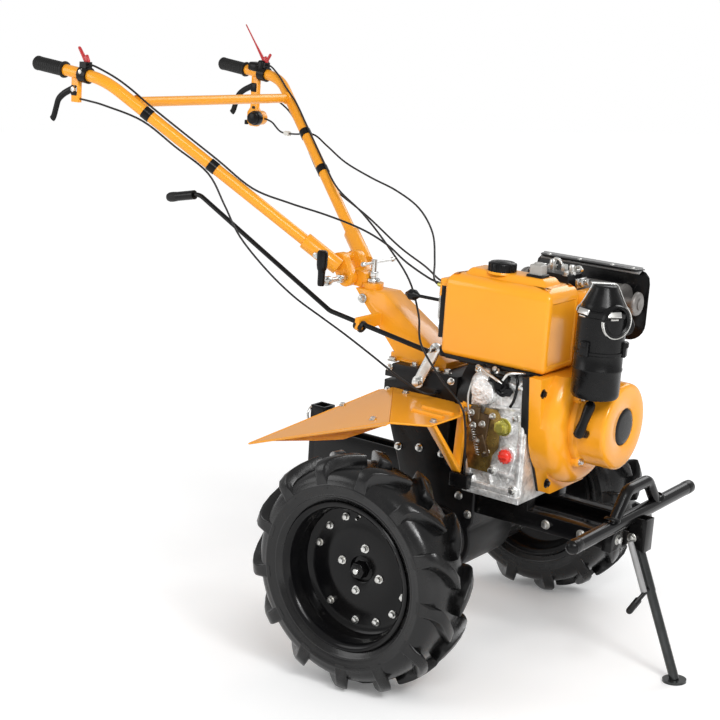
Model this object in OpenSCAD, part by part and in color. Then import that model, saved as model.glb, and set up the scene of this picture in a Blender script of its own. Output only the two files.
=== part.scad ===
// Walk-behind power tiller: two lugged drive wheels, a geared case with the air-cooled
// diesel engine bolted to its front, a leaning column with a V handlebar, and a front stand.
// Lengths are millimetres. Forward is +X, left is +Y, up is +Z, the floor is Z = 0.

/* [Stance] */
// Nose-down lean of the chassis while it stands on the front stand, in degrees
lean = 5.2; // [2:0.1:8]
// Forward lean of the stand leg against the vertical, in degrees
stand_lean = 18; // [10:0.5:25]

/* [Wheels] */
// Radius over the tips of the lugs
tyre_r = 269; // [250:1:300]
// Width of the tyre over its sidewalls
tyre_w = 146; // [120:1:170]
// Distance between the centre planes of the two wheels
track = 834; // [820:1:1000]
// Height of a lug over the tread
lug_h = 23; // [12:1:30]
// Number of lugs on each side of the tread
lug_count = 13; // [9:1:16]
// Radius of the rim over its flanges
rim_r = 168; // [160:1:175]
// Width of the rim over its flanges
rim_w = 124; // [120:1:135]
// Radius of the wheel shaft
shaft_r = 20; // [15:0.5:24]

/* [Gear case] */
// Half width of the gear case
case_half_w = 100; // [85:1:110]
// Height of the gear case's top over the axle
case_top = 294; // [280:1:300]
// Distance from the centre plane to the outer end of an axle housing
housing_end = 235; // [200:1:260]
// Radius of an axle housing
housing_r = 66; // [50:1:80]
// Half width of the shift box on top of the case
box_half_w = 80; // [65:1:95]
// Height of the shift box
box_h = 80; // [60:1:84]

/* [Engine] */
// Offset of the crank axis to the left
crank_y = 20; // [0:1:30]
// Height of the crank axis over the axle
crank_z = 320; // [310:1:330]
// Height of the engine's foot over the axle
engine_base = 130; // [120:1:140]
// Length of the crankcase along the crank
crankcase_l = 150; // [140:1:160]
// Radius of the fan scroll
scroll_r = 155; // [135:1:158]
// Radius of the recoil starter's drum
recoil_r = 99; // [80:1:104]
// Length of the fuel tank
tank_l = 275; // [240:1:290]
// Width of the fuel tank
tank_w = 138; // [120:1:145]
// Height of the fuel tank
tank_h = 190; // [150:1:210]
// Radius of the air filter canister
filter_r = 56; // [45:1:60]
// Height of the air filter canister without its cap
filter_h = 195; // [150:1:200]

/* [Handlebar] */
// Half distance between the ends of the grips
grip_half = 353; // [345:1:370]
// Height of the grip ends over the chassis origin
grip_z = 1009; // [990:1:1050]
// Distance of the grip ends behind the chassis origin
grip_back = 1161; // [1155:1:1200]
// Radius of the handle tubes
tube_r = 14.5; // [12:0.5:16]
// Radius of a grip
grip_r = 17.5; // [16.5:0.5:20]
// Length of a grip
grip_l = 118; // [90:1:120]

/* [Front] */
// Half length of the bumper bar
bumper_half = 295; // [240:1:320]
// Radius of the bumper bar
bumper_r = 16; // [13:0.5:19]
// Radius of the stand's leg
leg_r = 11; // [8:0.5:11.5]
// Radius of the stand's foot plate
foot_r = 27; // [20:1:35]

/* [Hidden] */
// Common values
$fn = 64;
overrun = 1;
seat_gap = 0.3;
running_fit = 0.05;
slip_fit = 0.1;
bend_swell = 0.05;
flank_share = 0.96;
move_gap = 5;
cable_r = 2.5;
cable_sides = 8;
yellow = [0.95, 0.62, 0.10];
black = [0.07, 0.07, 0.075];
rubber = [0.10, 0.10, 0.105];
alloy = [0.72, 0.73, 0.74];
zinc = [0.70, 0.70, 0.68];
gold = [0.62, 0.50, 0.20];
red = [0.85, 0.12, 0.10];

// Wheels
axle_h = tyre_r;
axle_back = 29;
axle_drop = 12;
lug_pitch = 360 / lug_count;
lug_slant = 15;
lug_angles = [0, 1.5, 8, 9.5];
tread_r = tyre_r - lug_h;
bead_depth = 15;
bead_r = rim_r - bead_depth;
bead_half = rim_w / 2 - 12;
sidewall_half = tyre_w / 2 - 1;
barrel_r = bead_r - seat_gap;
barrel_t = 4;
flange_t = 3.5;
disc_t = 6;
disc_inset = 74;
disc_z = rim_w / 2 - disc_inset;
disc_hole_r = shaft_r + 10;
hub_flange_r = 74;
hub_flange_t = 12;
sleeve_r = shaft_r + 12;
shaft_in = 85;
stub_l = 18;
bead_rise = 4;
bead_lip = 2;

// Gear case and shift box
case_low_r = 88;
case_rear = 215;
case_front = 62;
case_neck_x = 22;
case_neck_z = 170;
case_chin_z = 40;
case_heel_z = 140;
case_heel_x = 160;
box_rear = 227;
box_slot_l = 32;
box_slot_h = 9;
box_slot_z = 36;
box_corner = 22;
gland_r = 6;
gland_l = 15;
gland_x = 70;
gland_z = 36;

// Clutch bell
bell_r = 100;
bell_flange_r = 108;
bell_flange_t = 12;

// Column and swivel
column_base_front = 75;
column_base_rear = 235;
column_half_w = 50;
column_top_half_w = 36;
column_foot_t = 18;
column_top_z = 527;
column_top_front = 276;
column_top_rear = 363;
column_shares = [[0.36, 0.32], [0.66, 0.60]];
swivel_x = 336;
swivel_r = 27;
swivel_t = 14;
pivot_x = 391;
pivot_z = 548;
tongue_half_w = 18.5;
tongue_r = 20;
pin_r = 8;
pin_h = 56;
tee_r = 3.5;
tee_right = 45;
tee_left = 80;

// Gear lever
lever_r = 6;
lever_y = 120;
lever_knob_r = 12;
lever_knob_l = 80;
lever_bow = 40;
lever_knob_tip = [-905, 687];
lever_neck = [-810, 706];
lever_bend = [-374, 478];
lever_low = [-85, 432];
collar_x = 282;
collar_t = 12;
collar_half_h = 15;
collar_r = 14;
arm_x = 125;
arm_z = 345;
arm_r = 14;
arm_t = 10;

// Engine
crankcase_x = 50;
crankcase_front = crankcase_x + crankcase_l;
crankcase_top = 420;
crankcase_right = 130;
crankcase_left = 170;
foot_flange_h = 16;
foot_flange_w = 10;
gasket_t = 6;
shroud_x = crankcase_front + gasket_t;
shroud_plate_t = 30;
shroud_top = 432;
duct_l = 56;
duct_y = 12;
duct_w = 104;
duct_top = 606;
duct_round = 24;
scroll_l = 76;
scroll_round = 36;
recoil_l = 84;
recoil_flange_l = 14;
recoil_rim = 10;
recoil_flange_r = recoil_r + recoil_rim;
recoil_round = 14;
recoil_x = shroud_x + scroll_l;
pull_r = 12;
pull_l = 84;
pull_x = 322;
pull_y = 93;
tank_x = -46;
tank_z = 436;
tank_right = 130;
tank_round = 26;
deck_h = 12;
neck_r = 27;
neck_h = 1;
cap_r = 31;
cap_h = 24;
cap_x = 68;
cap_y = -tank_right + tank_w * 0.42;
mount_pad = 18;
filter_x = 338;
filter_y = -92;
filter_z = 405;
filter_round = 10;
filter_cap_h = 55;
filter_cap_r = 34;
strap_t = 2.5;
strap_w = 14;
elbow_r = 19;
elbow_bend = 42;
elbow_drop = 58;
elbow_z = duct_top - elbow_drop;
elbow_y = 62;
head_y = 22;
head_w = 90;
head_top = 600;
head_x = 62;
head_l = 132;
fin_t = 3;
fin_pitch = 11;
fin_out = 9;
rocker_h = 36;
rocker_in = 12;
muffler_r = 40;
muffler_x = 0;
muffler_l = 270;
muffler_y = 156;
muffler_z = 575;
outlet_r = 14;
outlet_l = 40;
shield_y = 202;
shield_t = 2.5;
shield_x = 5;
shield_l = 302;
shield_low = 478;
shield_top = 650;
shield_lip = 34;
shield_corner = 44;
plate_l = 86;
plate_z = 188;
plate_h = 150;
plate_t = 3;
plate_stand = 7;
oil_x = 157;
oil_z = 236;
oil_r = 15;
oil_l = 16;
pump_x = 92;
pump_z = 376;
pump_r = 29;
pump_out = 26;
bracket_t = 16;
bracket_w = 72;
bracket_z = 470;
bracket_h = 135;
bracket_y = 117;
stop_r = 4;
stop_l = 95;
stop_knob_r = 13;
stop_z = 548;
stop_y = 80;

// Chassis front
rail_y = 75;
rail_w = 34;
rail_top = 106;
front_plate_t = 24;
front_plate_half = 104;
front_notch_half = 48;
front_plate_shares = [[1, 0], [1, 0.45], [0.8, 1]];
rail_h = 40;
rail_t = 5;
bumper_x = 422;
bumper_z = 131;
hoop_r = 13.5;
hoop_half = 112;
hoop_top_half = 52;
hoop_top = 201;
hoop_bend = 32;
cheek_t = 6;
cheek_half = 19;
stand_x = 431;
stand_z = 84;
stand_ear_r = 18;
stand_bracket_low = 55;
pivot_pin_r = 6;
leg_boss_r = 15;
leg_boss_half = 12;
leg_sleeve_r = 12;
leg_sleeve_l = 130;
foot_t = 6;
pedal_at = 120;
pedal_out = 66;
pedal_drop = 12;
pedal_r = 5;
pedal_pad_r = 8;
pedal_pad_l = 24;
link_r = 7;
link_top = 6;

// Fenders
fender_t = 2.5;
fender_z = 312;
fender_front = crankcase_x - seat_gap;
fender_out_front = 292;
fender_out = 342;
fender_out_x = -28;
fender_crease_x = -200;
fender_tip_x = -415;
fender_tip_y = 356;
fender_heel_x = -238;
fender_fall = 22;
rib_r = 5;
rib_shares = [0.30, 0.55];
strut_t = 5;
strut_w = 22;
strut_foot_x = 26;
strut_foot_l = 48;
strut_foot_w = 30;
strut_foot_z = 140;
strut_foot_h = 34;

// Rear hitch
hitch_x = -466;
hitch_half = 22;
hitch_t = 6;
hitch_low = 10;
hitch_top = 200;
hitch_hole_r = 6.5;
hitch_hole_z = 166;
hitch_arm_half = 30;
hitch_arm_t = 8;
hitch_arm_low = 60;
hitch_arm_top = 145;
hitch_arm_x = -120;

// Handlebar
head_cheek_in = tongue_half_w + seat_gap;
head_cheek_t = 25;
head_r = 22;
head_slot = [-415, 585];
head_bar = [-423, 591];
head_bar_r = 11;
socket_r = 21;
socket_start_x = 403;
socket_end_x = 480;
tube_low = [-391, 50, 565];
tube_knee = [-937, 341, 986];
tube_bend = 140;
crossbar_x = 873;
crossbar_r = 12.5;
clamp_r = 6;
clamp_out = 140;
knob_r = 13;
knob_low = 10;
knob_up = 78;
lug_x = 1027;
lug_half_l = 12.5;
lug_half_w = 6;
lug_drop = 72;
brake_shares = [[0, 0.62], [0.40, 0.80], [0.78, 0.98], [1, 1.58]];
brake_r = 7;
brake_l = 60;
brake_half_t = 5;
thumb_x = 998;
thumb_ring_l = 26;
thumb_ring_r = tube_r + 6;
thumb_block = 22;
thumb_len = 52;
clutch_len = 150;
thumb_r = 4;
switch_r = 20;
switch_l = 26;
switch_fwd = 18;
switch_drop = 55;
switch_cap_r = 16;
switch_cap_l = 20;
clip_r = tube_r + 1.5;
clip_l = 22;
clips_right = [839, 690];
clips_left = [762, 655];

// Routes of the five control cables, in the chassis frame
steer_right_route = [[-1014.3, -345, 932], [-986, -345, 930], [-935, -335, 922], [-849, -295, 893],
    [-775, -254, 836], [-700, -215, 778], [-655, -200, 704], [-610, -190, 632], [-535, -174, 560],
    [-455, -162, 505], [-370, -155, 466], [-300, -155, 438], [-220, -150, 400], [-150, -145, 365],
    [-90, -130, 335], [-70, -112, 330], [-70, -95, 330]];
steer_left_route = [[-1014.3, 345, 932], [-986, 345, 930], [-935, 335, 922], [-855, 299, 893],
    [-772, 253.5, 833.5], [-665, 196.5, 751], [-585, 178, 716], [-465, 140, 676], [-315, 75, 625],
    [-200, 20, 600], [-120, -40, 588], [-85, -58, 588], [-62.2, -60, 588]];
throttle_route = [[-986.2, -344, 1018], [-965, -338, 1013], [-920, -318, 991], [-880, -300, 964],
    [-829, -283.5, 927.5], [-755, -244, 870], [-680, -204, 812.5], [-600, -162, 750], [-520, -118, 722],
    [-435, -75, 700], [-345, -50, 676], [-270, -45, 648], [-200, -62, 618], [-120, -75, 592], [-80, -78, 588],
    [-62.2, -78, 588]];
clutch_route = [[-986.2, 344, 1018], [-965, 338, 1013], [-920, 318, 991], [-880, 300, 964],
    [-829, 283.5, 927.5], [-752, 242, 868.5], [-645, 185, 786], [-560, 135, 735], [-440, 85, 690],
    [-310, 20, 630], [-210, -30, 570], [-140, -85, 505], [-95, -135, 450], [-20, -160, 388],
    [46, -168, 338], [62, -167, 290], [62, -158, 220], [60, -150, 174.4]];
stop_route = [[-987.9, 345, 868], [-955, 338, 861], [-905, 318, 840], [-835, 292, 842], [-752, 266, 851],
    [-685, 243, 828], [-600, 215, 795], [-500, 195, 768], [-395, 160, 750], [-290, 112, 722], [-205, 50, 678],
    [-145, -25, 628], [-108, -80, 598], [-84, -97, 588], [-62.2, -97, 588]];

// Vector helpers
function unit(v) = v / norm(v);
function along(a, b, s) = a + (b - a) * s;
function left_of(p) = [p[0], -p[1], p[2]];

// The chassis frame: its origin lies a little ahead of the axle and above it, level before the lean is applied
function posed_x(p) = (p[0] + axle_back) * cos(lean) + (p[2] + axle_drop) * sin(lean);
function posed_z(p) = axle_h - (p[0] + axle_back) * sin(lean) + (p[2] + axle_drop) * cos(lean);
stand_pivot = [stand_x, 0, stand_z];
leg_l = (posed_z(stand_pivot) - foot_t) / cos(stand_lean);
foot_x = posed_x(stand_pivot) + leg_l * sin(stand_lean);
grip_end = [-grip_back, grip_half, grip_z];
grip_dir = unit(grip_end - tube_knee);
grip_dir_x = grip_dir[0] * cos(lean) + grip_dir[2] * sin(lean);
rear_reach = posed_x(grip_end) - grip_r * sqrt(1 - grip_dir_x * grip_dir_x);
origin_x = -(foot_x + foot_r + rear_reach) / 2;

module posed() translate([origin_x, 0, axle_h]) rotate([0, lean, 0]) translate([axle_back, 0, axle_drop])
    children();

module both_sides() {
    children();
    mirror([0, 1, 0]) children();
}

// An outline in X and Z, extruded along Y about the centre plane
module side_plate(w) rotate([90, 0, 0]) linear_extrude(w, center = true) children();

// An outline in Y and Z, extruded forward along X
module cross_plate(l) rotate([90, 0, 90]) linear_extrude(l) children();

// A round bar from point a to point b
module rod(a, b, r) {
    d = b - a;
    translate(a) rotate([0, acos(d[2] / norm(d)), atan2(d[1], d[0])]) cylinder(r = r, h = norm(d));
}

// A flat outline: a bar between two round eyes that stand a little proud of its flanks
module slot2d(a, b, r) {
    d = b - a;
    translate(a) circle(r);
    translate(b) circle(r);
    translate(a) rotate(atan2(d[1], d[0])) translate([0, -r * flank_share]) square([norm(d), 2 * r * flank_share]);
}

// A chain of such bars
module slots2d(pts, r) {
    for (i = [0 : len(pts) - 2]) slot2d(pts[i], pts[i + 1], r);
}

// A round bar through a list of points, with a bend of the given radius at each inner point
function bend_cut(a, knee, b, bend) = bend * tan(acos(unit(knee - a) * unit(b - knee)) / 2);

module bend_piece(a, knee, b, bend, r) {
    u = unit(knee - a);
    v = unit(b - knee);
    yaw = atan2(u[1], u[0]);
    dip = -asin(u[2]);
    vx = v[0] * cos(yaw) + v[1] * sin(yaw);
    vy = -v[0] * sin(yaw) + v[1] * cos(yaw);
    vz = vx * sin(dip) + v[2] * cos(dip);
    roll = atan2(vz, vy);
    translate(knee - u * bend_cut(a, knee, b, bend)) rotate([roll, dip, yaw]) translate([0, bend, 0])
        rotate([0, 0, -90]) rotate_extrude(angle = acos(u * v)) translate([bend, 0]) circle(r + bend_swell);
}

module bent_bar(pts, bend, r) {
    n = len(pts) - 1;
    for (i = [0 : n - 1]) {
        u = unit(pts[i + 1] - pts[i]);
        skip = i == 0 ? 0 : bend_cut(pts[i - 1], pts[i], pts[i + 1], bend) - overrun;
        stop = i == n - 1 ? 0 : bend_cut(pts[i], pts[i + 1], pts[i + 2], bend) - overrun;
        rod(pts[i] + u * skip, pts[i + 1] - u * stop, r);
    }
    for (i = [1 : n - 1]) bend_piece(pts[i - 1], pts[i], pts[i + 1], bend, r);
}

// A box with all edges round
module round_box(size, r) {
    hull() for (x = [r, size[0] - r], y = [r, size[1] - r], z = [r, size[2] - r])
        translate([x, y, z]) sphere(r, $fn = 24);
}

// A round cable swept along its route
module cable(route) {
    n = len(route);
    tangents = [for (i = [0 : n - 1]) unit(route[min(i + 1, n - 1)] - route[max(i - 1, 0)])];
    points = [for (i = [0 : n - 1])
        let (side = unit(cross(tangents[i], [0, 1, 1])), up = cross(side, tangents[i]))
        for (k = [0 : cable_sides - 1])
            route[i] + cable_r * (cos(k * 360 / cable_sides) * side + sin(k * 360 / cable_sides) * up)];
    walls = [for (i = [0 : n - 2], k = [0 : cable_sides - 1])
        let (a = i * cable_sides + k, b = i * cable_sides + (k + 1) % cable_sides)
        each [[a, a + cable_sides, b], [b, a + cable_sides, b + cable_sides]]];
    start = [[for (k = [0 : cable_sides - 1]) k]];
    finish = [[for (k = [cable_sides - 1 : -1 : 0]) (n - 1) * cable_sides + k]];
    color(black) polyhedron(points, concat(walls, start, finish));
}

// Wheel frame: +Z out along the axle, +Y up, origin in the wheel's centre plane
module on_wheel(left) {
    translate([origin_x, 0, axle_h]) mirror([0, left ? 1 : 0, 0])
        translate([0, -track / 2, 0]) rotate([90, 0, 0]) children();
}

// Tyre section from the outer bead to the inner one: half width, radius and lug rise of each column
tread_shares = [0.89, 0.47, 0.07];
function tyre_half() = [
    [bead_half, bead_r, 0],
    [rim_w / 2 - bead_lip, rim_r + bead_rise, 0],
    [sidewall_half, rim_r + (tread_r - rim_r) * 0.34, 0],
    [sidewall_half, rim_r + (tread_r - rim_r) * 0.68, 0.12],
    [sidewall_half * tread_shares[0], tread_r - lug_h * 0.26, 0.76],
    [sidewall_half * tread_shares[1], tread_r - lug_h * 0.04, 0.98],
    [sidewall_half * tread_shares[2], tread_r, 1]];

module tyre(left) {
    half = tyre_half();
    m = len(half);
    columns = concat([for (j = [0 : m - 1]) [half[j][0], half[j][1], half[j][2], 0]],
        [for (j = [m - 1 : -1 : 0]) [-half[j][0], half[j][1], half[j][2], 1]]);
    cols = len(columns);
    phases = concat(lug_angles, [for (a = lug_angles) a + lug_pitch / 2]);
    steps = len(phases);
    rows = lug_count * steps;
    points = [for (i = [0 : rows - 1], c = columns)
        let (s = i % steps, on_lug = c[3] == 0 ? (s == 1 || s == 2) : (s == 5 || s == 6),
            r = c[1] + (on_lug ? lug_h * c[2] : 0),
            swing = lug_slant * min(abs(c[0]) / (sidewall_half * tread_shares[0]), 1),
            a = floor(i / steps) * lug_pitch + phases[s] + swing)
        [r * cos(a), r * sin(a), c[0]]];
    faces = [for (i = [0 : rows - 1], j = [0 : cols - 1])
        let (a = i * cols + j, b = i * cols + (j + 1) % cols,
            c = ((i + 1) % rows) * cols + j, d = ((i + 1) % rows) * cols + (j + 1) % cols)
        each [[a, b, c], [b, d, c]]];
    color(rubber) on_wheel(left) polyhedron(points, faces);
}

module rim(left) {
    half = rim_w / 2;
    color(black) on_wheel(left) rotate_extrude() {
        translate([barrel_r - barrel_t, -half]) square([barrel_t, rim_w]);
        for (z = [-half, half - flange_t])
            translate([barrel_r - barrel_t, z]) square([rim_r - barrel_r + barrel_t, flange_t]);
        translate([disc_hole_r, disc_z]) square([barrel_r - disc_hole_r, disc_t]);
    }
}

module hub(left) {
    sleeve_low = -(track / 2 - housing_end - move_gap);
    color(black) on_wheel(left) {
        translate([0, 0, disc_z - hub_flange_t]) cylinder(r = hub_flange_r, h = hub_flange_t);
        translate([0, 0, sleeve_low]) cylinder(r = sleeve_r, h = disc_z - hub_flange_t - sleeve_low);
        translate([0, 0, sleeve_low - move_gap - shaft_in]) cylinder(r = shaft_r, h = shaft_in + move_gap);
        translate([0, 0, disc_z]) cylinder(r = shaft_r, h = disc_t + stub_l, $fn = 6);
    }
}

// Gear case with the axle housings and the flats for the front rails
axle_at = [-axle_back, -axle_drop];
case_outline = [[-case_rear, case_top], [-case_neck_x, case_top], [-case_neck_x, case_neck_z],
    [crankcase_x, engine_base], [case_front, engine_base], [case_front, case_chin_z],
    axle_at + [0, -case_low_r], axle_at + [-case_low_r, 0], [-case_heel_x, case_heel_z]];

module gear_case() {
    color(black) posed() difference() {
        union() {
            side_plate(2 * case_half_w) {
                polygon(case_outline);
                translate(axle_at) circle(case_low_r);
            }
            translate([-axle_back, 0, -axle_drop]) rotate([90, 0, 0])
                cylinder(r = housing_r, h = 2 * housing_end, center = true);
        }
        both_sides() translate([-axle_back, -housing_end - overrun, -axle_drop]) rotate([-90, 0, 0])
            cylinder(r = shaft_r + running_fit, h = shaft_in + move_gap + overrun);
    }
}

module shift_box() {
    front = -case_neck_x;
    top = case_top + box_h;
    slot_z = case_top + box_slot_z;
    color(black) posed() {
        side_plate(2 * box_half_w) difference() {
            polygon([[-box_rear, case_top], [front, case_top], [front, top],
                [-box_rear + box_corner, top], [-box_rear, top - box_corner]]);
            translate([-box_rear - overrun, slot_z]) square([box_slot_l + overrun, box_slot_h]);
        }
        translate([-gland_x, -box_half_w - gland_l, case_top + gland_z]) rotate([-90, 0, 0])
            cylinder(r = gland_r, h = gland_l);
    }
}

module clutch_bell() {
    color(black) posed() translate([-case_neck_x, crank_y, crank_z]) rotate([0, 90, 0]) {
        cylinder(r = bell_r, h = crankcase_x + case_neck_x);
        translate([0, 0, crankcase_x + case_neck_x - bell_flange_t])
            cylinder(r = bell_flange_r, h = bell_flange_t);
    }
}

// Silver arm on the shift box that the gear lever turns
module shift_arm() {
    color(zinc) posed() {
        translate([0, -box_half_w - arm_t / 2, 0]) side_plate(arm_t)
            slot2d([-arm_x, arm_z], lever_low, arm_r);
        translate([lever_low[0], -lever_y + lever_r, lever_low[1]]) rotate([-90, 0, 0])
            cylinder(r = lever_r, h = lever_y - lever_r - box_half_w);
    }
}

module gear_lever() {
    function at(p) = [p[0], -lever_y, p[1]];
    tip = at(lever_knob_tip);
    reach = unit(at(lever_neck) - tip);
    color(black) posed() {
        rod(tip, tip + reach * lever_knob_l, lever_knob_r);
        bent_bar([tip + reach * lever_knob_r, at(lever_neck), at(lever_bend), at(lever_low)],
            lever_bow, lever_r);
    }
}

// Leaning column with a guide ear for the gear lever
lever_run = (lever_low - lever_bend) / (lever_low[0] - lever_bend[0]);
collar_z = lever_bend[1] + lever_run[1] * (-collar_x - lever_bend[0]);
module column() {
    low = case_top + box_h;
    front = [-column_base_front, low + column_foot_t];
    rear = [-column_base_rear + column_foot_t / 2, low + column_foot_t];
    head_front = [-column_top_front, column_top_z];
    head_rear = [-column_top_rear, column_top_z];
    belly = [for (s = column_shares) along(rear, head_rear, s[0]) + [(s[1] - s[0]) * column_foot_t, 0]];
    color(yellow) posed() difference() {
        union() {
            intersection() {
                side_plate(2 * column_half_w)
                    polygon([[-column_base_rear, low], [-column_base_front, low], front, head_front, head_rear,
                        belly[1], belly[0], rear, [-column_base_rear, low + column_foot_t]]);
                translate([-column_top_rear - overrun, 0, 0]) cross_plate(column_top_rear)
                    polygon([[-column_half_w, low], [column_half_w, low],
                        [column_top_half_w, column_top_z], [-column_top_half_w, column_top_z]]);
            }
            translate([-collar_x - collar_t / 2, -lever_y - collar_r, collar_z - collar_half_h])
                cube([collar_t, lever_y + collar_r - column_top_half_w, 2 * collar_half_h]);
        }
        rod([lever_bend[0], -lever_y, lever_bend[1]], [lever_low[0], -lever_y, lever_low[1]],
            lever_r + seat_gap);
    }
}

module swivel_head() {
    color(yellow) posed() difference() {
        union() {
            translate([-swivel_x, 0, column_top_z]) cylinder(r = swivel_r, h = swivel_t);
            side_plate(2 * tongue_half_w) {
                slot2d([-pivot_x, pivot_z], [-column_top_rear, column_top_z + tongue_r], tongue_r);
                translate([-column_top_rear, column_top_z]) square([swivel_t, tongue_r + swivel_t]);
            }
        }
        translate([-pivot_x, 0, pivot_z]) rotate([90, 0, 0])
            cylinder(r = clamp_r + running_fit, h = 2 * tongue_half_w + 2 * overrun, center = true);
        translate([-swivel_x, 0, column_top_z + swivel_t]) cylinder(r = pin_r, h = pin_h);
    }
}

// Locking pin of the swivel with its tee bar
module swivel_pin() {
    color(zinc) posed() translate([-swivel_x, 0, column_top_z + swivel_t]) {
        cylinder(r = pin_r, h = pin_h);
        translate([0, -tee_right, pin_h - 2 * tee_r]) rotate([-90, 0, 0])
            cylinder(r = tee_r, h = tee_right + tee_left);
    }
}

module crankcase() {
    wide = crankcase_left + crankcase_right;
    color(alloy) posed() {
        translate([crankcase_x, 0, 0]) cross_plate(crankcase_l)
            polygon([[-crankcase_right, engine_base], [crankcase_left, engine_base],
                [crankcase_left, crankcase_top - wide / 10], [crankcase_left - wide / 10, crankcase_top],
                [-crankcase_right + wide / 10, crankcase_top],
                [-crankcase_right, crankcase_top - wide / 10]]);
        translate([crankcase_x, -crankcase_right - foot_flange_w, engine_base])
            cube([crankcase_l, wide + 2 * foot_flange_w, foot_flange_h]);
        translate([pump_x, -crankcase_right - pump_out, pump_z]) rotate([-90, 0, 0])
            cylinder(r = pump_r, h = pump_out + wide / 10);
        for (s = [0.2, 0.8]) translate([crankcase_x + s * crankcase_l - mount_pad / 2, -tank_right / 2, crankcase_top])
            cube([mount_pad, mount_pad, tank_z - crankcase_top]);
    }
}

// Finned cylinder head with the rocker cover on top
module cylinder_head() {
    fins = floor((head_top - crankcase_top) / fin_pitch) - 1;
    color(alloy) posed() {
        translate([head_x, head_y, crankcase_top]) cube([head_l, head_w, head_top - crankcase_top]);
        for (i = [1 : fins]) translate([head_x - fin_out, head_y, crankcase_top + i * fin_pitch])
            cube([fin_out, head_w, fin_t]);
        translate([head_x + rocker_in, head_y + rocker_in, head_top])
            cube([head_l - 2 * rocker_in, head_w - 2 * rocker_in, rocker_h]);
    }
}

// Governor plate on the right face of the crankcase, on four stand-offs
plate_shares = [[0.14, 0], [0.78, 0], [0.84, 0.28], [1, 0.42], [1, 0.90], [0.88, 1], [0.52, 1], [0.46, 0.86],
    [0.34, 0.86], [0.28, 1], [0.08, 1], [0, 0.92], [0, 0.34]];
plate_stud_shares = [[0.24, 0.10], [0.70, 0.10], [0.16, 0.88], [0.86, 0.86]];
module control_plate() {
    face = -crankcase_right - plate_stand;
    color(gold) posed() {
        translate([crankcase_x, face, plate_z]) rotate([90, 0, 0]) linear_extrude(plate_t)
            polygon([for (q = plate_shares) [q[0] * plate_l, q[1] * plate_h]]);
        for (q = plate_stud_shares)
            translate([crankcase_x + q[0] * plate_l, face, plate_z + q[1] * plate_h]) rotate([-90, 0, 0])
                cylinder(r = plate_stand, h = plate_stand);
    }
}

module oil_cap() {
    color(red) posed() translate([oil_x, -crankcase_right - oil_l, oil_z]) rotate([-90, 0, 0])
        cylinder(r = oil_r, h = oil_l);
}

// Outline of the fan shroud, seen from the front
shroud_half_shares = [[0.43, 0.06], [0.83, 0.60], [0.92, 1]];
shroud_half = 186;
module shroud2d() {
    tall = shroud_top - engine_base;
    right = [for (s = shroud_half_shares) [crank_y - s[0] * shroud_half, engine_base + s[1] * tall]];
    left = [for (i = [2 : -1 : 0]) [crank_y + shroud_half_shares[i][0] * shroud_half,
        engine_base + shroud_half_shares[i][1] * tall]];
    polygon(concat(right, left));
}

module shroud_gasket() {
    color(black) posed() translate([crankcase_front, 0, 0]) cross_plate(gasket_t) shroud2d();
}

module fan_shroud() {
    color(yellow) posed() difference() {
        union() {
            translate([shroud_x, 0, 0]) cross_plate(shroud_plate_t) shroud2d();
            translate([shroud_x, 0, 0]) cross_plate(duct_l) {
                translate([duct_y, crank_z]) square([duct_w, duct_top - duct_round - crank_z]);
                translate([duct_y + duct_round, crank_z]) square([duct_w - 2 * duct_round, duct_top - crank_z]);
                for (y = [duct_y + duct_round, duct_y + duct_w - duct_round])
                    translate([y, duct_top - duct_round]) circle(duct_round * flank_share);
            }
            translate([shroud_x, crank_y, crank_z]) rotate([0, 90, 0]) rotate_extrude() {
                square([scroll_r, scroll_l - scroll_round]);
                square([scroll_r - scroll_round, scroll_l]);
                translate([scroll_r - scroll_round, scroll_l - scroll_round]) circle(scroll_round);
            }
        }
        translate([shroud_x - overrun, -scroll_r, shroud_top])
            cube([scroll_l + 2 * overrun, scroll_r + duct_y, scroll_r]);
        translate([shroud_x - overrun, duct_y + duct_w, shroud_top])
            cube([scroll_l + 2 * overrun, scroll_r, scroll_r]);
        translate([shroud_x + duct_l, duct_y - overrun, shroud_top])
            cube([scroll_l, duct_w + 2 * overrun, scroll_r]);
    }
}

module recoil_cover() {
    color(yellow) posed() translate([recoil_x, crank_y, crank_z]) rotate([0, 90, 0]) rotate_extrude() {
        square([recoil_flange_r, recoil_flange_l]);
        square([recoil_r, recoil_l - recoil_round]);
        square([recoil_r - recoil_round, recoil_l]);
        translate([recoil_r - recoil_round, recoil_l - recoil_round]) circle(recoil_round);
    }
}

module recoil_handle() {
    color(black) posed() difference() {
        union() {
            translate([pull_x, -pull_y, crank_z - pull_r]) cylinder(r = pull_r, h = pull_l);
            translate([pull_x, -pull_y, crank_z]) rotate([-90, 0, 0]) cylinder(r = pull_r / 2, h = pull_y);
        }
        translate([recoil_x, crank_y, crank_z]) rotate([0, 90, 0]) cylinder(r = recoil_r, h = recoil_l);
    }
}

module fuel_tank() {
    color(yellow) posed() {
        translate([tank_x, -tank_right, tank_z]) round_box([tank_l, tank_w, tank_h], tank_round);
        translate([tank_x + tank_round, -tank_right + tank_round, tank_z + tank_h / 2])
            round_box([tank_l - 2 * tank_round, tank_w - 2 * tank_round, tank_h / 2 + deck_h], deck_h);
        translate([cap_x, cap_y, tank_z + tank_h]) cylinder(r = neck_r, h = deck_h + neck_h);
    }
}

module tank_cap() {
    color(black) posed()
        translate([cap_x, cap_y, tank_z + tank_h + deck_h + neck_h])
            cylinder(r = cap_r, h = cap_h);
}

module air_filter() {
    color(black) posed() translate([filter_x, filter_y, filter_z]) rotate_extrude() {
        translate([0, filter_round]) square([filter_r, filter_h - filter_round]);
        square([filter_r - filter_round, filter_h]);
        translate([filter_r - filter_round, filter_round]) circle(filter_round);
    }
}

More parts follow.
